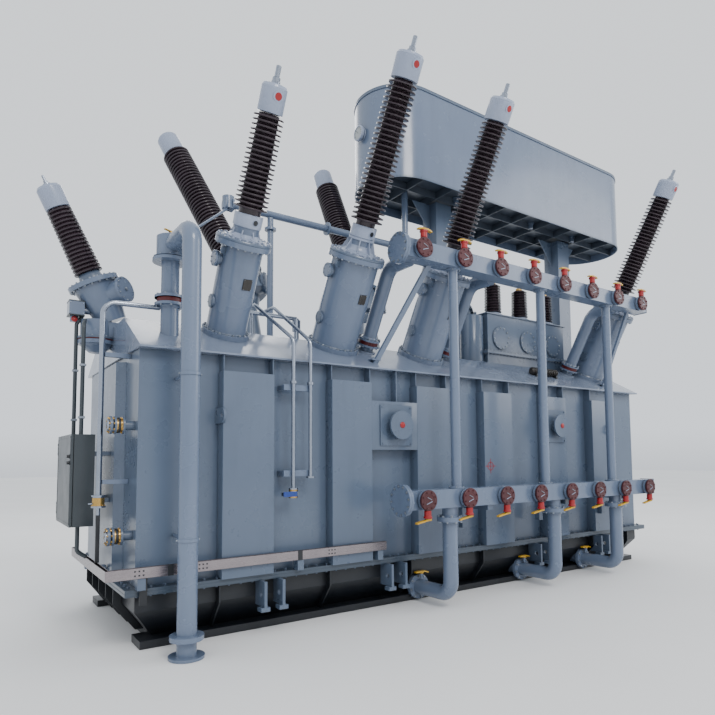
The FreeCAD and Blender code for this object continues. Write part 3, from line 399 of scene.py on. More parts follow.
STEEL = metal("stainless", (0.38, 0.42, 0.49), (0.27, 0.30, 0.36), 0.20)
TRAY = metal("tray_steel", (0.36, 0.32, 0.325), (0.25, 0.22, 0.235), 0.26, (0.04, 1, 1), 180)
ZINC = metal("zinc_bolt", (0.34, 0.37, 0.42), (0.24, 0.27, 0.31), 0.36, (1, 1, 1), 90)
BRASS = metal("brass", (0.60, 0.38, 0.12), (0.44, 0.27, 0.08), 0.26, (1, 1, 1), 120)
GLASS = enamel("gauge_glass", (0.34, 0.37, 0.38), (0.26, 0.29, 0.30), (0.05, 0.10), 0.6, 0.1)
BLANK = enamel("plate_brown", (0.018, 0.014, 0.011), (0.012, 0.010, 0.008), (0.2, 0.3), 0.15, 0.1)


def dress():
    """Give every CAD node its finish and soften its edges."""
    # the cover and pipes get lighter copies of the grey enamel as painted light; the lower tank, flanges and
    # conservator underside get darker copies as painted shade
    special = {
        "tank_cover": COVER, "lower_tank": LOWER, "lower_ribs": LOWER, "base_rails": LOWER,
        "jacking_brackets": PAINT, "cable_tray": TRAY, "front_oil_pipes": STEEL, "end_oil_pipe": STEEL,
        "cabinet": CABINET, "cabinet_door": CABINET, "cabinet_conduits": CABINET, "main_pipe": PIPE,
        "vent_pipe": PIPE, "feed_pipes": PIPE, "down_pipes": PIPE, "header_posts": PIPE,
        "upper_header": PIPE, "lower_header": PIPE, "oil_line": PIPE, "oil_line_post": PIPE,
        "conservator_ribs": UNDER, "conservator_bottom": UNDER,
        "conservator_wall": PIPE, "front_turrets": PIPE, "end_turret": PIPE, "bell_flange": LEDGE,
        "lower_flange": LEDGE, "pipe_brackets": PIPE, "header_struts": PIPE,
    }
    for name, item in NODES.items():
        item.data.materials.clear()
        item.data.materials.append(special.get(name, PAINT))
        item.data.shade_smooth()
        weld = item.modifiers.new("weld", "WELD")
        weld.merge_threshold = 0.0002
        soft = item.modifiers.new("soften", "BEVEL")
        soft.width, soft.segments, soft.limit_method = 0.003, 1, "ANGLE"
        soft.angle_limit = math.radians(50)
        soft.use_clamp_overlap = True
        split = item.modifiers.new("split", "EDGE_SPLIT")
        split.split_angle = math.radians(28)


# ---------------------------------------------------------------- bushings

def sheds(build, place, length, core, tip, pitch, rim, segments=40):
    """A porcelain stack: (foot, top) radii of its core and of its sheds, each shed with a rounded rim."""
    count = max(1, round(length / pitch))
    step = length / count
    profile = [(core[0], 0)]
    for n in range(count):
        share = (n + 0.5) / count
        inner = core[0] + (core[1] - core[0]) * share
        reach = tip[0] + (tip[1] - tip[0]) * share
        z = n * step + step * 0.08
        depth = step * 0.90
        profile += [(inner, z), (inner + (reach - inner) * 0.55, z + rim * 0.2), (reach - rim * 0.35, z),
                    (reach - rim * 0.08, z + rim * 0.15), (reach, z + rim * 0.4), (reach, z + rim * 0.65),
                    (reach - rim * 0.3, z + rim),
                    (inner + (reach - inner) * 0.35, z + rim + (depth - rim) * 0.22),
                    (inner + (reach - inner) * 0.08, z + rim + (depth - rim) * 0.45), (inner, z + depth)]
    profile.append((core[1], length))
    build.lathe(profile, PORCELAIN, place, segments)


def front_frame(x):
    """The placement of a front turret: its local Z axis leans out over the front."""
    return shift((x, -TURRET_Y, slope_z(TURRET_Y))) @ spin(SLOPE, "X")


def adaptor(build, place, z, radius, neck, high):
    """The cast adaptor between a turret's lid and its bushing, with ribs and a bolt ring."""
    build.lathe([(radius, z), (radius, z + 0.012), (neck * 1.45, z + 0.022), (neck * 1.15, z + 0.05),
                 (neck, z + high * 0.55), (neck, z + high - 0.03), (neck * 1.12, z + high - 0.024),
                 (neck * 1.12, z + high)], PALE, place, 40)
    for n in range(8):
        a = math.tau * n / 8 + 0.2
        rib = place @ spin(a, "Z") @ spin(math.pi / 2, "X") @ shift((0, z + 0.012, -0.006))
        build.plate([(neck * 0.9, 0), (radius * 0.80, 0), (radius * 0.80, 0.012), (neck * 1.1, high * 0.8),
                     (neck * 0.9, high * 0.8)], 0.012, PALE, rib)


def bushing_cap(build, place, radius, high, stem, rod_r=0.024):
    """The oil cap: a drum with rims, a domed lid and the terminal stem."""
    build.lathe([(radius * 0.80, 0), (radius * 0.98, 0.004), (radius, 0.012), (radius, high - 0.034),
                 (radius * 0.94, high - 0.024), (radius * 0.90, high - 0.012), (radius * 0.55, high),
                 (0.0, high)], PALE, place, 40)
    build.lathe([(radius * 0.35, high - 0.004), (radius * 0.33, high + 0.020), (rod_r * 1.5, high + 0.024),
                 (rod_r * 1.5, high + 0.05), (rod_r, high + 0.055), (rod_r, high + stem * 0.96),
                 (rod_r * 0.7, high + stem)], STEEL, place, 20)
    build.bolt_ring(place @ shift((0, 0, high - 0.022)), radius * 0.78, 8, PALE, 0.008, 0.010)


def front_bushings():
    """Turret fittings, collars, porcelain and caps of the four front bushings."""
    fittings, stacks, tops, collars = Build(), Build(), Build(), Build()
    for x in TURRET_X:
        small = x == TURRET_X[0]
        place = front_frame(x)
        ring, head, tube_r = (0.247, 0.273, 0.205) if small else (0.303, 0.318, 0.265)
        long = 0.945 if small else 1.05
        neck_long = 0.114 if small else 0.175
        top = long + 0.05 + neck_long
        up = place @ shift((0, 0, 0.05))
        fittings.bolt_ring(up, ring - 0.020, 20, ZINC, 0.011, 0.013)
        fittings.lathe([(tube_r, 0.05), (tube_r + 0.010, 0.052), (tube_r + 0.001, 0.066)], PAINT, place, 40,
                       caps=False)
        low_ring = place @ shift((0, 0, long - 0.025)) @ spin(math.pi, "X")
        fittings.bolt_ring(low_ring, head - 0.020, 24, ZINC, 0.011, 0.013)
        fittings.lathe([(head - 0.004, long + 0.025), (head, long + 0.029), (head, long + 0.044),
                        (head - 0.006, long + 0.052), (0.15, long + 0.054)], PAINT, place, 48, caps=False)
        fittings.bolt_ring(place @ shift((0, 0, long + 0.05)), head - 0.024, 24, PALE, 0.012, 0.014)
        adaptor(fittings, place, long + 0.052, head - 0.075, 0.112 if small else 0.128, neck_long - 0.002)
        fittings.bolt_ring(place @ shift((0, 0, long + 0.064)), head - 0.095, 12, PALE, 0.011, 0.014)
        front = place @ spin(math.radians(-90 + 12), "Z")
        face = front @ shift((tube_r * 0.985, 0, long * 0.62))
        fittings.block((0, -PLATE_Y, -PLATE_Z), (0.010, PLATE_Y, PLATE_Z), BLANK, face, 0.002)
        for sy in (-1, 1):
            for sz in (-1, 1):
                dot = face @ shift((0.010, sy * (PLATE_Y - 0.008), sz * (PLATE_Z - 0.008)))
                fittings.bolt(dot @ spin(math.pi / 2, "Y"), ZINC, 0.004, 0.003, False)
        stub = place @ shift((-(tube_r + 0.045), 0, long - 0.19)) @ spin(-math.pi / 2, "Y")
        fittings.lathe([(0.052, -0.020), (0.078, -0.020), (0.078, -0.003), (0.052, -0.003)], PAINT, stub, 28,
                       caps=False)
        fittings.bolt_ring(stub @ shift((0, 0, 0.020)), 0.063, 8, ZINC, 0.006, 0.008)
        hand = place @ shift((-(tube_r + 0.016), 0, 0.33)) @ spin(-math.pi / 2, "Y")
        fittings.lathe([(0.062, -0.010), (0.070, -0.008), (0.070, 0.002), (0.062, 0.005), (0.03, 0.007),
                        (0.0, 0.007)], PAINT, hand, 28)
        fittings.bolt_ring(hand @ shift((0, 0, 0.004)), 0.054, 6, ZINC, 0.005, 0.006)
        for n in range(2):
            hook = place @ spin(math.pi * n + 0.4, "Z")
            hook = hook @ shift((tube_r, 0, long - 0.13)) @ spin(math.pi / 2, "X")
            fittings.plate([(0, 0), (0.05, 0.015), (0.062, 0.04), (0.05, 0.07), (0, 0.09)], 0.014,
                           PAINT, hook)
        low = top
        collars.lathe([(0.132, low), (0.140, low + 0.006), (0.140, low + 0.118), (0.134, low + 0.128),
                       (0.10, low + 0.130)], PALE, place, 40)
        eye = place @ spin(math.radians(-90 + 10), "Z")
        eye = eye @ shift((0.136, 0, low + 0.065)) @ spin(math.pi / 2, "Y")
        collars.lathe([(0.030, 0), (0.030, 0.007), (0.024, 0.009)], PALE, eye, 20)
        collars.lathe([(0.027, 0.006), (0.025, 0.010), (0.0, 0.011)], DARK, eye, 20)
        low += 0.130
        high = 0.905 if small else 1.45
        core = (0.110, 0.094) if small else (0.122, 0.098)
        tip = (0.165, 0.142) if small else (0.180, 0.152)
        body = place @ shift((0, 0, low))
        stacks.lathe([(0.108, -0.004), (0.108, 0.05), (0.100, 0.06)], PORCELAIN, body, 32)
        start = body @ shift((0, 0, 0.045))
        sheds(stacks, start, high - 0.05, core, tip, 0.043 if small else 0.050, 0.018)
        cap_r = 0.120 if small else 0.143
        spot = place @ shift((0, 0, low + high))
        bushing_cap(tops, spot, cap_r, 0.255, 0.150)
        level = spot @ spin(math.radians(-90 + 2), "Z")
        level = level @ shift((cap_r - 0.006, 0, 0.150)) @ spin(math.pi / 2, "Y")
        tops.lathe([(0.050, -0.01), (0.050, 0.006), (0.040, 0.008)], PALE, level, 28)
        tops.lathe([(0.036, 0.006), (0.033, 0.009), (0.0, 0.010)], RED, level, 24)
    return fittings, stacks, tops, collars


def rear_frame(number):
    """The placement of a rear bushing's foot, leaning as the fan of three does."""
    swing, lean = REAR_FAN[number]
    axis = Vector((math.cos(math.radians(swing)), math.sin(math.radians(swing)), 0))
    spot = shift((REAR_X[number], REAR_Y, REAR_HEAD))
    return spot @ spin(math.radians(-lean), axis)


def rear_bushings(tops, collars):
    """Porcelain, collars and fittings of the three rear bushings."""
    stacks, fittings = Build(), Build()
    for number in range(3):
        place = rear_frame(number)
        fittings.bolt_ring(place @ shift((0, 0, 0.05)), 0.262, 20, ZINC, 0.012, 0.014)
        fittings.bolt_ring(place @ spin(math.pi, "X"), 0.262, 20, ZINC, 0.012, 0.014)
        fittings.lathe([(0.20, 0.05), (0.20, 0.066), (0.165, 0.10)], PAINT, place, 36)
        collars.lathe([(0.150, 0.05), (0.155, 0.056), (0.155, 0.190), (0.148, 0.200), (0.10, 0.20)], PALE,
                      place, 36)
        sheds(stacks, place @ shift((0, 0, 0.2)), 1.90, (0.160, 0.150), (0.190, 0.183), 0.050, 0.032)
        bushing_cap(tops, place @ shift((0, 0, 2.10)), 0.143, 0.315, 0.09, 0.016)
        hatch = along((0.75, -0.66, 0.1), (REAR_X[number], REAR_Y, REAR_HEAD - 0.13))
        hatch = hatch @ shift((0, 0, 0.33))
        fittings.lathe([(0.12, -0.03), (0.146, -0.028), (0.146, 0.002), (0.140, 0.006), (0.09, 0.016),
                        (0.0, 0.018)], PAINT, hatch, 32)
        fittings.bolt_ring(hatch @ shift((0, 0, 0.004)), 0.128, 12, ZINC, 0.009, 0.009)
        foot = shift((REAR_X[number], REAR_Y, RIDGE_Z))
        fittings.lathe([(0.340, 0), (0.340, 0.028), (0.334, 0.032), (0.295, 0.034)], PAINT, foot, 40)
        fittings.bolt_ring(foot @ shift((0, 0, 0.032)), 0.319, 20, ZINC, 0.011, 0.012)
    return stacks, fittings


def end_bushing(tops, collars, fittings):
    """The leaning bushing on the left end, its terminal box and its drum's flanges."""
    stack = Build()
    place = shift(END_HEAD) @ spin(math.radians(-26), "Y")
    fittings.bolt_ring(place @ shift((0, 0, 0.046)), 0.237, 20, ZINC, 0.010, 0.012)
    fittings.bolt_ring(place @ spin(math.pi, "X"), 0.237, 20, ZINC, 0.010, 0.012)
    collars.lathe([(0.150, 0.046), (0.150, 0.060), (0.124, 0.070), (0.112, 0.128), (0.106, 0.136)], PAINT,
                  place, 36)
    sheds(stack, place @ shift((0, 0, 0.136)), 0.68, (0.120, 0.100), (0.144, 0.122), 0.040, 0.026)
    bushing_cap(tops, place @ shift((0, 0, 0.816)), 0.122, 0.24, 0.11, 0.014)
    hatch = along((0.62, -0.75, 0.2), place @ Vector((0, 0, -0.125)))
    lid = hatch @ shift((0, 0, 0.315))
    fittings.bolt_ring(lid, 0.117, 12, ZINC, 0.007, 0.008)
    fittings.lathe([(0.018, 0), (0.018, 0.012), (0.012, 0.016)], ZINC, lid, 16)
    box_face = shift((TERMINAL_X, 0, TERMINAL_Z))
    for z in (-0.076, 0.066):
        fittings.block((-0.004, -0.084, z), (0.144, 0.084, z + 0.010), CABINET, box_face, 0.002)
    for sx in (0.012, 0.128):
        for sz in (-0.052, 0.052):
            spot = (TERMINAL_X + sx, -0.080, TERMINAL_Z + sz)
            fittings.bolt(along((0, -1, 0), spot), ZINC, 0.005, 0.005, False)
    fittings.lathe([(0.030, -0.012), (0.030, 0), (0.024, 0.004), (0.0, 0.005)], RED,
                   along((0, -1, 0), (-4.225, -0.038, 3.085)), 18)
    drum = shift((-4.01, 0, 2.83))
    fittings.lathe([(0.170, 0.052), (0.183, 0.054), (0.183, 0.060), (0.170, 0.062)], GASKET, drum, 36)
    fittings.lathe([(0.160, 0.062), (0.184, 0.064), (0.184, 0.084), (0.160, 0.086)], PAINT, drum, 36)
    fittings.bolt_ring(drum @ shift((0, 0, 0.084)), 0.170, 16, ZINC, 0.008, 0.009)
    return stack


# ---------------------------------------------------------------- headers and valves

def pipe_joint(build, place, gap, gasket=GASKET):
    """Two bolted flanges with a coloured ring between them, centred on the local origin."""
    face, ring = gap / 2 + JOINT_THICK, JOINT_R - 0.022
    for side in (-1, 1):
        z0, z1 = sorted((side * gap / 2, side * face))
        build.lathe([(PIPE_R, z0), (JOINT_R, z0), (JOINT_R, z1), (PIPE_R, z1)], PIPE, place, 36, caps=False)
        rim = sorted((side * face, side * (gap / 2 + 0.045)))
        weld = [PIPE_R + 0.016, PIPE_R + 0.002][::side]
        build.lathe(list(zip(weld, rim)), PIPE, place, 32, caps=False)
    build.lathe([(PIPE_R, -gap / 2), (ring, -gap / 2), (ring, gap / 2), (PIPE_R, gap / 2)], gasket, place, 36,
                caps=False)
    for turn in (0, math.pi):
        flip = place @ spin(turn, "X") @ shift((0, 0, face))
        build.bolt_ring(flip, JOINT_R - 0.017, 8, ZINC, 0.012, 0.014, 0.2)


def butterfly(build, x, level, side):
    """A butterfly valve with its dark blank, red stem block and yellow lever."""
    out = along((0, -1, 0), (x, -HEAD_Y - HEAD_HALF, level))
    build.lathe([(0.084, 0), (0.080, 0.006), (0.080, 0.020), (0.104, 0.021), (0.106, 0.024), (0.106, 0.046),
                 (0.100, 0.048)], PIPE, out, 32)
    build.lathe([(0.088, 0.046), (0.096, 0.049), (0.096, 0.060), (0.088, 0.062)], DARK, out, 32)
    build.lathe([(0.100, 0.061), (0.108, 0.064), (0.108, 0.084), (0.103, 0.088), (0.064, 0.090),
                 (0.060, 0.086), (0.0, 0.086)], RUST_RED, out, 36)
    build.bolt_ring(out @ shift((0, 0, 0.087)), 0.086, 8, RUST_RED, 0.0095, 0.010, 0.39)
    for a, reach in ((0.35, 0.050), (-0.45, 0.040)):
        bar = out @ spin(a, "Z") @ shift((0, -0.022 if a > 0 else 0.018, 0.087))
        build.block((-reach, -0.0035, 0), (reach * 0.6, 0.0035, 0.005), PALE if a > 0 else ZINC, bar, 0.001)
    stem = shift((x, -HEAD_Y - HEAD_HALF - 0.055, level))
    if side < 0:
        stem = stem @ spin(math.pi, "Y")
    build.lathe([(0.026, 0.088), (0.026, 0.102), (0.020, 0.106), (0.020, 0.112)], ZINC, stem, 16)
    build.lathe([(0.032, 0.104), (0.038, 0.110), (0.038, 0.160), (0.046, 0.170), (0.046, 0.184),
                 (0.024, 0.190)], RED, stem, 20)
    build.lathe([(0.016, 0.188), (0.016, 0.212), (0.011, 0.215)], ZINC, stem, 8)
    if side > 0:
        path = [(-0.080, 0, 0.184), (-0.030, 0, 0.194), (0.055, 0.003, 0.196), (0.110, 0.006, 0.184)]
    else:
        path = [(-0.036, 0, 0.190), (0.020, 0, 0.195), (0.070, 0.003, 0.206), (0.150, 0.006, 0.222)]
    lever(build, stem, path)


def lever(build, place, path):
    """A flat cranked lever along a path of four local points, with its hub."""
    spots = [Vector(p) for p in path]
    sides = (0.022, 0.026, 0.024, 0.020)
    thick = 0.016
    rings = []
    for p, w in zip(spots, sides):
        rings.append([(p.x, p.y - w, p.z), (p.x, p.y + w, p.z), (p.x, p.y + w, p.z + thick),
                      (p.x, p.y - w, p.z + thick)])
    points = [q for ring in rings for q in ring]
    faces = [(3, 2, 1, 0)]
    for k in range(len(rings) - 1):
        for s in range(4):
            t = (s + 1) % 4
            faces.append((k * 4 + s, k * 4 + t, k * 4 + 4 + t, k * 4 + 4 + s))
    last = 4 * (len(rings) - 1)
    faces.append((last, last + 1, last + 2, last + 3))
    build.add(points, faces, YELLOW, place)
    build.lathe([(0.028, 0.190), (0.028, 0.209), (0.022, 0.212)], YELLOW, place, 18)


def headers():
    """Valves, blank-flange bolts, pipe joints and post feet of the cooler headers."""
    valves, joints = Build(), Build()
    for level, side in ((UPPER_Z, 1), (LOWER_Z, -1)):
        for x in VALVE_X:
            butterfly(valves, x, level, side)
        blank = along((-1, 0, 0), (HEAD_LEFT - BLANK_OUT, -HEAD_Y, level))
        joints.bolt_ring(blank, 0.148, 12, ZINC, 0.012, 0.012, 0.13)
        joints.lathe([(0.168, -0.004), (0.160, 0.001), (0.0, 0.001)], PIPE, blank, 48)
        back = along((1, 0, 0), (HEAD_LEFT, -HEAD_Y, level))
        joints.bolt_ring(back, 0.148, 12, ZINC, 0.012, 0.012, 0.13)
        end = shift((HEAD_RIGHT, -HEAD_Y, level))
        joints.block((-0.006, -0.106, -0.106), (0.0, 0.106, 0.106), PIPE, end, 0.001)
    for x in POST_X:
        for level, flip in ((LOWER_Z + HEAD_HALF, 0), (UPPER_Z - HEAD_HALF, math.pi)):
            foot = shift((x, -HEAD_Y, level)) @ spin(flip, "X")
            joints.lathe([(0.090, 0), (0.090, 0.012), (0.086, 0.015), (0.066, 0.017), (0.058, 0.024)], PIPE,
                         foot, 32)
            joints.bolt_ring(foot @ shift((0, 0, 0.013)), 0.076, 4, ZINC, 0.009, 0.010, 0.78)
    for x in DOWN_X:
        pipe_joint(joints, shift((x, -HEAD_Y, LOWER_Z - HEAD_HALF - 0.130)), 0.006, PIPE)
        wall = along((0, 1, 0), (x, -TANK_Y + 0.005, DOWN_Z))
        joints.bolt_ring(wall @ spin(math.pi, "X") @ shift((0, 0, 0.022)), 0.125, 8, ZINC, 0.012, 0.014, 0.2)
        spot = shift((x, -TANK_Y - 0.055, DOWN_Z + 0.10))
        joints.lathe([(0.020, 0), (0.020, 0.055), (0.014, 0.062)], PIPE, spot, 16)
        lever(joints, spot @ shift((0, 0, -0.135)),
              [(-0.09, 0, 0.200), (-0.02, 0.002, 0.203), (0.04, 0.004, 0.203), (0.10, 0.004, 0.186)])
    for x in FEED_X:
        lean = shift((x, -FEED_Y, slope_z(FEED_Y))) @ spin(SLOPE, "X")
        pipe_joint(joints, lean @ shift((0, 0, 0.120)), 0.046)
        joints.lathe([(0.120, 0.0), (0.120, 0.014), (0.088, 0.020)], COVER, lean, 32, caps=False)
    pipe_joint(joints, shift((VENT.x, VENT.y, 3.175)), 0.048)
    return valves, joints


# ---------------------------------------------------------------- bolt rows and small fittings

def end_details(build):
    """Stub and drain valves, the cabinet's conduit and clips, the vent's cap and the big pipe's bolts."""
    wall = -TANK_X
    for z in STUB_Z:
        for reach in (0.095, 0.165):
            ring = along((-1, 0, 0), (wall - reach - 0.009, STUB_Y, z))
            build.bolt_ring(ring, 0.066, 8, BRASS, 0.008, 0.010, 0.2)
        body = along((-1, 0, 0), (wall - 0.104, STUB_Y, z))
        build.lathe([(0.064, 0.0), (0.064, 0.052)], BRASS, body, 32, caps=False)
        build.lathe([(0.068, 0.016), (0.070, 0.020), (0.070, 0.034), (0.068, 0.038)], DARK, body, 32,
                    caps=False)
        face = along((-1, 0, 0), (wall - 0.210, STUB_Y, z))
        build.lathe([(0.046, 0.0), (0.046, 0.010), (0.036, 0.014), (0.0, 0.014)], STEEL, face, 28)
        build.bolt_ring(face, 0.066, 8, BRASS, 0.008, 0.010, 0.2)
    low = shift((-4.10, -0.80, 1.24))
    build.lathe([(0.052, 0.006), (0.052, 0.080), (0.044, 0.086)], BRASS, low, 28, caps=False)
    build.lathe([(0.062, -0.008), (0.062, 0.008)], STEEL, low, 28)
    build.bolt_ring(low @ shift((0, 0, 0.008)), 0.052, 6, BRASS, 0.006, 0.008)
    build.block((-4.185, -0.812, 1.262), (-4.15, -0.788, 1.276), STEEL, None, 0.002)
    valve = shift(COCK)
    build.lathe([(0.030, -0.042), (0.046, -0.040), (0.046, -0.026), (0.032, -0.022), (0.032, 0.022),
                 (0.046, 0.026), (0.046, 0.040), (0.030, 0.044)], BRASS, valve, 24)
    build.block((-2.525, -1.333, 1.288), (-2.39, -1.348, 1.326), BLUE, None, 0.004)
    build.lathe([(0.016, 0), (0.016, 0.05)], BLUE, along((0, -1, 0), COCK), 14)
    build.tube([(-4.20, -0.38, 1.04), (-4.20, -0.38, 0.80), (-4.12, -0.38, 0.745)], 0.019, CABINET, 0.05)
    build.block((-4.118, -0.812, 0.746), (-4.084, -0.788, 1.165), DARK, None, 0.002)
    for z in (2.05, 2.55):
        for low, high in ((-0.462, -0.418), (-0.022, 0.022)):
            build.block((-4.228, low, z), (-4.172, high, z + 0.022), ZINC, None, 0.002)
    knob = shift((VENT.x, VENT.y, 3.845))
    build.lathe([(0.022, -0.01), (0.022, 0.022), (0.016, 0.028)], BRASS, knob, 18)
    build.block((-0.085, -0.012, 0.016), (0.040, 0.012, 0.028), YELLOW, knob @ spin(0.5, "Z"), 0.003)
    build.lathe([(0.139, -0.275), (0.160, -0.274), (0.160, -0.268), (0.139, -0.262)], PIPE,
                shift((VENT.x, VENT.y, 3.87)), 40, caps=False)
    build.bolt_ring(shift((VENT.x, VENT.y, 3.600)), 0.150, 10, ZINC, 0.007, 0.009)
    build.lathe([(0.133, 0), (0.133, 0.006), (0.124, 0.014), (0.05, 0.018), (0.0, 0.018)], PIPE,
                shift((VENT.x, VENT.y, 3.797)), 40)
    for z in (2.38, 0.96):
        for side in (-1, 1):
            build.bolt(along((side, 0, 0), (BIG.x + side * 0.088, BIG.y, z + 0.015)), ZINC, 0.008, 0.012)


def door_details():
    """The cabinet door's raised rim and its two knobs."""
    build = Build()
    x, (y0, y1), (z0, z1) = DOOR_X, DOOR_Y, DOOR_Z
    for low, high in (((x - 0.003, y0 + 0.02, z0 + 0.02), (x, y1 - 0.02, z0 + 0.032)),
                      ((x - 0.003, y0 + 0.02, z1 - 0.032), (x, y1 - 0.02, z1 - 0.02)),
                      ((x - 0.003, y0 + 0.02, z0 + 0.02), (x, y0 + 0.032, z1 - 0.02)),
                      ((x - 0.003, y1 - 0.032, z0 + 0.02), (x, y1 - 0.02, z1 - 0.02))):
        build.block(low, high, CABINET, None, 0.001)
    for share in (0.76, 0.69):
        z = z0 + 0.86 * share
        knob = along((-1, 0, 0), (x, y0 + 0.06, z))
        build.lathe([(0.022, 0.0), (0.022, 0.004), (0.015, 0.006), (0.015, 0.027), (0.0, 0.028)], DARK,
                    knob, 20)
    return build


def bolt_row(build, first, last, count, way, mat=ZINC, size=0.013, high=0.014):
    """Bolts at even distances between two points, standing along a direction."""
    first, last = Vector(first), Vector(last)
    for n in range(count):
        spot = first.lerp(last, n / (count - 1))
        build.bolt(along(way, spot), mat, size, high)


def tank_bolts():
    """The bolts of the joint flange, above and below."""
    build = Build()
    y, x = TANK_Y + 0.055, TANK_X + 0.055
    for side in (-1, 1):
        for z, way in ((FLANGE_TOP, (0, 0, 1)), (FLANGE_LOW, (0, 0, -1))):
            bolt_row(build, (-x + 0.06, side * y, z), (x - 0.06, side * y, z), 66, way, PAINT, 0.012, 0.015)
            bolt_row(build, (side * x, -y + 0.05, z), (side * x, y - 0.05, z), 19, way, PAINT, 0.012, 0.015)
    return build


def low_voltage():
    """Cover discs, short bushings and flange bolts of the low-voltage box."""
    covers, bushings, bolts = Build(), Build(), Build()
    for x in LV_X:
        disc = along((0, -1, 0), (x, LV_FRONT, LV_DISC_Z))
        covers.lathe([(0.150, 0), (0.158, 0.004), (0.158, 0.008), (0.172, 0.009), (0.172, 0.019),
                      (0.168, 0.022), (0.0, 0.022)], PAINT, disc, 44)
        covers.bolt_ring(disc @ shift((0, 0, 0.021)), 0.150, 12, ZINC, 0.012, 0.012, 0.13)
        place = shift((x, -0.4, LV_TOP))
        bushings.lathe([(0.135, -0.05), (0.135, -0.030), (0.115, -0.024), (0.098, 0.0)], PALE, place, 32)
        bushings.bolt_ring(place @ shift((0, 0, -0.030)), 0.122, 8, ZINC, 0.009, 0.010)
        sheds(bushings, place, 0.43, (0.090, 0.080), (0.130, 0.122), 0.043, 0.014, segments=32)
        bushings.lathe([(0.048, 0.43), (0.048, 0.47), (0.022, 0.478), (0.018, 0.50)], BRASS, place, 20)
    for z, way in ((3.21, (0, 0, 1)), (3.17, (0, 0, -1))):
        for y in (-0.583, 0.143):
            bolt_row(bolts, (1.15, y, z), (2.99, y, z), 26, way, ZINC, 0.011, 0.012)
        for x in (1.137, 3.003):
            bolt_row(bolts, (x, LV_FRONT, z), (x, 0.10, z), 9, way, ZINC, 0.011, 0.012)
    lying_stub(bolts)
    return covers, bushings, bolts


def lying_stub(build):
    """The dark ribbed stub that lies on the cover in front of the low-voltage box."""
    y = -0.93
    place = along((1, 0, 0), (1.66, y, slope_z(y) + 0.062))
    profile = [(0.0, 0.0), (0.034, 0.0)]
    for n in range(14):
        z = 0.010 + n * 0.040
        profile += [(0.040, z), (0.056, z + 0.006), (0.056, z + 0.016), (0.040, z + 0.024)]
    profile += [(0.034, 0.575), (0.0, 0.575)]
    build.lathe(profile, BLANK, place, 28, caps=False)
    for x in (1.72, 2.16):
        build.block((x, y - 0.055, slope_z(y) - 0.03), (x + 0.03, y + 0.045, slope_z(y) + 0.020), DARK,
                    None, 0.002)


def ports():
    """Bolts, necks and centres of the two blanked wall ports, and the balance mark."""
    build = Build()
    for x, z, plate in ((-1.087, 2.020, 0.445), (1.735, 2.080, 0.415)):
        for sx in (-1, 1):
            for sz in (-1, 1):
                spot = (x + sx * (plate / 2 - 0.024), FACE_Y - 0.018, z - 0.0005 + sz * 0.204)
                build.bolt(along((0, -1, 0), spot), PAINT, 0.010, 0.009)
        face = along((0, -1, 0), (x, FACE_Y - 0.018, z))
        build.lathe([(0.100, 0), (0.100, 0.018), (0.094, 0.022), (0.079, 0.024)], PAINT, face, 36)
        build.lathe([(0.0785, 0.030), (0.0800, 0.032), (0.0800, 0.052), (0.0785, 0.054)], BRASS, face, 32)
        build.bolt_ring(face @ shift((0, 0, 0.018)), 0.090, 8, ZINC, 0.006, 0.008)
        disc = along((0, -1, 0), (x, FACE_Y - 0.126, z))
        build.lathe([(0.034, -0.001), (0.034, 0.006), (0.028, 0.010), (0.0, 0.011)], RED, disc, 24)
    mark = along((0, -1, 0), (0.43, FACE_Y - 0.0005, 1.54))
    build.lathe([(0.046, 0.0), (0.046, 0.0012), (0.054, 0.0012), (0.054, 0.0)], RED, mark, 40, caps=False)
    for a in (0, math.pi / 2):
        turn = mark @ spin(a, "Z")
        build.block((-0.092, -0.004, 0), (0.092, 0.004, 0.0012), RED, turn, 0.0002)
    return build


def tray_details():
    """Perforated joints and straps of the cable tray."""
    build = Build()
    for x in (-3.90, -3.35, -2.0):
        for n in range(3):
            for m in range(2):
                low, high = x + n * 0.035, m * 0.036
                build.block((low, TRAY_Y - 0.0015, 0.675 + high), (low + 0.014, TRAY_Y, 0.688 + high),
                            DARK, None, 0.0003)
    for x in (-3.62, -2.35):
        build.block((x, TRAY_Y - 0.003, 0.652), (x + 0.05, TRAY_Y, 0.746), DARK, None, 0.001)
    build.block((-3.845, -1.262, 0.42), (-3.78, -1.252, 0.66), DARK, None, 0.002)
    return build


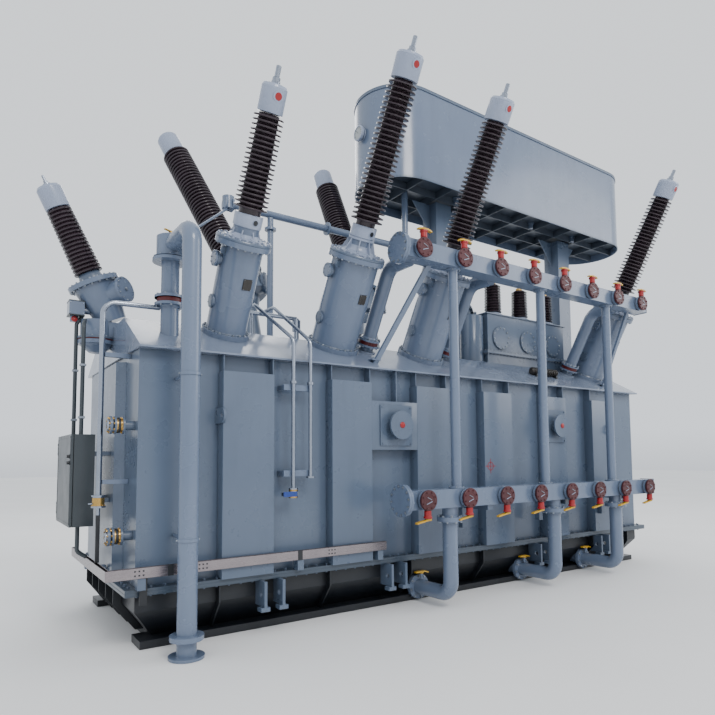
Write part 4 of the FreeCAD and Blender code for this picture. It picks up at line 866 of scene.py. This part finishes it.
def conservator_details():
    """Rims, drain stubs and the dial gauge of the conservator."""
    rims, gauge = Build(), Build()
    count = 28

    def loop(reach):
        """The conservator's outline with round ends of a radius."""
        arc = [(reach * math.sin(math.pi * n / count), reach * math.cos(math.pi * n / count))
               for n in range(count + 1)]
        return [(CONS_LEFT - x, -y) for x, y in arc] + [(CONS_RIGHT + x, y) for x, y in arc]

    for low, high, out in ((6.700, 6.742, 0.012), (5.430, 5.452, 0.010)):
        outer, inner = loop(CONS_R + out), loop(CONS_R - 0.004)
        n = len(outer)
        points = [(x, y, z) for z in (low, high) for ring in (outer, inner) for x, y in ring]
        faces = []
        for i in range(n):
            j = (i + 1) % n
            faces += [(j, i, 2 * n + i, 2 * n + j), (n + i, n + j, 3 * n + j, 3 * n + i),
                      (i, j, n + j, n + i), (2 * n + j, 2 * n + i, 3 * n + i, 3 * n + j)]
        rims.add(points, faces, PAINT)
    for x in (0.9, 2.6, 3.7):
        rims.lathe([(0.045, -0.10), (0.045, -0.03), (0.060, -0.03), (0.060, 0.0)], PAINT,
                   shift((x, -0.22, 5.56)), 20)
    face = along((-1, 0, 0), (-0.65, 0, 6.17))
    gauge.lathe([(0.085, 0), (0.085, 0.012), (0.060, 0.016), (0.060, 0.034), (0.100, 0.038), (0.105, 0.046),
                 (0.105, 0.074), (0.099, 0.079), (0.090, 0.080), (0.088, 0.074)], PALE, face, 44, caps=False)
    gauge.lathe([(0.089, 0.073), (0.05, 0.075), (0.0, 0.0755)], GLASS, face, 44, caps=False)
    gauge.block((-0.003, -0.01, 0.0745), (0.003, 0.06, 0.077), DARK, face @ spin(0.7, "Z"), 0.0005)
    for n in range(11):
        turn = face @ spin(math.radians(-120 + 24 * n), "Z")
        gauge.block((-0.0018, 0.064, 0.0738), (0.0018, 0.078, 0.0762), DARK, turn, 0.0002)
    gauge.bolt_ring(face @ shift((0, 0, 0.012)), 0.073, 6, ZINC, 0.006, 0.007)
    return rims, gauge


def camera_and_light():
    """The photograph's viewpoint, soft daylight from the front left and a pale floor."""
    yaw, pitch, roll = (math.radians(angle) for angle in (YAW, PITCH, ROLL))
    ahead = Vector((math.sin(yaw) * math.cos(pitch), math.cos(yaw) * math.cos(pitch), math.sin(pitch)))
    right = Vector((math.cos(yaw), -math.sin(yaw), 0))
    up = right.cross(ahead)
    right, up = (math.cos(roll) * right + math.sin(roll) * up, -math.sin(roll) * right + math.cos(roll) * up)
    data = bpy.data.cameras.new("camera")
    data.lens, data.sensor_width = 29.74, 36
    data.shift_x, data.shift_y = -0.0170, 0.0807
    data.clip_end = 200
    camera = bpy.data.objects.new("camera", data)
    turn = Matrix((right, up, -ahead)).transposed().to_4x4()
    camera.matrix_world = shift(CAMERA_AT) @ turn
    bpy.context.scene.collection.objects.link(camera)
    bpy.context.scene.camera = camera

    mesh = bpy.data.meshes.new("floor")
    reach = 60
    mesh.from_pydata([(-reach, -reach, -0.002), (reach, -reach, -0.002), (reach, reach, -0.002),
                      (-reach, reach, -0.002)], [], [(0, 1, 2, 3)])
    floor = bpy.data.objects.new("floor", mesh)
    bpy.context.scene.collection.objects.link(floor)
    mat, tree, out = shader("floor")
    patches = spread(tree, noise(tree, 0.4, 3), 0.3, 0.7, 0, 1)
    tone = mix(tree, patches, (0.80, 0.80, 0.80), (0.84, 0.84, 0.84))
    tree.links.new(tone, out.inputs["Base Color"])
    out.inputs["Roughness"].default_value = 0.9
    mesh.materials.append(mat)

    world = bpy.data.worlds.new("daylight")
    bpy.context.scene.world = world
    world.use_nodes = True
    tree = world.node_tree
    back = tree.nodes["Background"]
    where = tree.nodes.new("ShaderNodeTexCoord")
    split = tree.nodes.new("ShaderNodeSeparateXYZ")
    ramp = tree.nodes.new("ShaderNodeValToRGB")
    tree.links.new(where.outputs["Generated"], split.inputs["Vector"])
    tree.links.new(spread(tree, split.outputs["Z"], -1, 1, 0, 1), ramp.inputs["Fac"])
    stops = ramp.color_ramp.elements
    stops[0].position, stops[0].color = 0.42, (0.30, 0.31, 0.33, 1)
    stops[1].position, stops[1].color = 0.52, (0.88, 0.93, 1.0, 1)
    high = stops.new(0.80)
    high.color = (0.92, 0.96, 1.0, 1)
    tree.links.new(ramp.outputs["Color"], back.inputs["Color"])
    back.inputs["Strength"].default_value = 1.25

    def area(name, spot, aim, size, power, colour=(1, 1, 1)):
        """A round lamp aimed at a point."""
        lamp = bpy.data.lights.new(name, "AREA")
        lamp.shape, lamp.size, lamp.energy, lamp.color = "DISK", size, power, colour
        item = bpy.data.objects.new(name, lamp)
        way = Vector(aim) - Vector(spot)
        item.matrix_world = shift(Vector(spot)) @ way.to_track_quat("-Z", "Y").to_matrix().to_4x4()
        bpy.context.scene.collection.objects.link(item)

    area("key", (-3, -15, 13), (0, 0, 2), 6, 1300, (1.0, 0.98, 0.96))
    area("fill", (12, -9, 8), (0, 0, 2), 8, 450)
    area("back", (2, 12, 12), (0, 0, 4), 8, 500)


# ---------------------------------------------------------------- make everything

camera_and_light()
dress()
fittings, stacks, tops, collars = front_bushings()
rear_stacks, rear_fittings = rear_bushings(tops, collars)
end_stack = end_bushing(tops, collars, rear_fittings)
fittings.piece("turret_fittings", "paint")
rear_fittings.piece("rear_turret_fittings", "paint")
stacks.piece("front_porcelain", "porcelain", ["front_insulators"])
rear_stacks.piece("rear_porcelain", "porcelain", ["rear_insulators"])
end_stack.piece("end_porcelain", "porcelain", ["end_insulator"])
tops.piece("caps", "cap_paint", ["bushing_caps"])
collars.piece("collars", "cap_paint", ["bushing_collars"])
valves, joints = headers()
valves.piece("valves", "valve_iron", ["cooler_valves"])
end_details(joints)
joints.piece("pipe_joints", "paint")
door_details().piece("door_details", "cabinet_paint", body="door")
tank_bolts().piece("tank_bolts", "paint")
covers, short_bushings, lv_bolts = low_voltage()
covers.piece("lv_cover_discs", "paint", ["lv_covers"])
short_bushings.piece("lv_porcelain", "porcelain", ["lv_bushings"])
lv_bolts.piece("lv_bolts", "paint")
ports().piece("port_details", "paint")
tray_details().piece("tray_details", "stainless")
rims, gauge = conservator_details()
rims.piece("conservator_rims", "paint")
gauge.piece("dial_gauge", "paint", ["oil_gauge"])
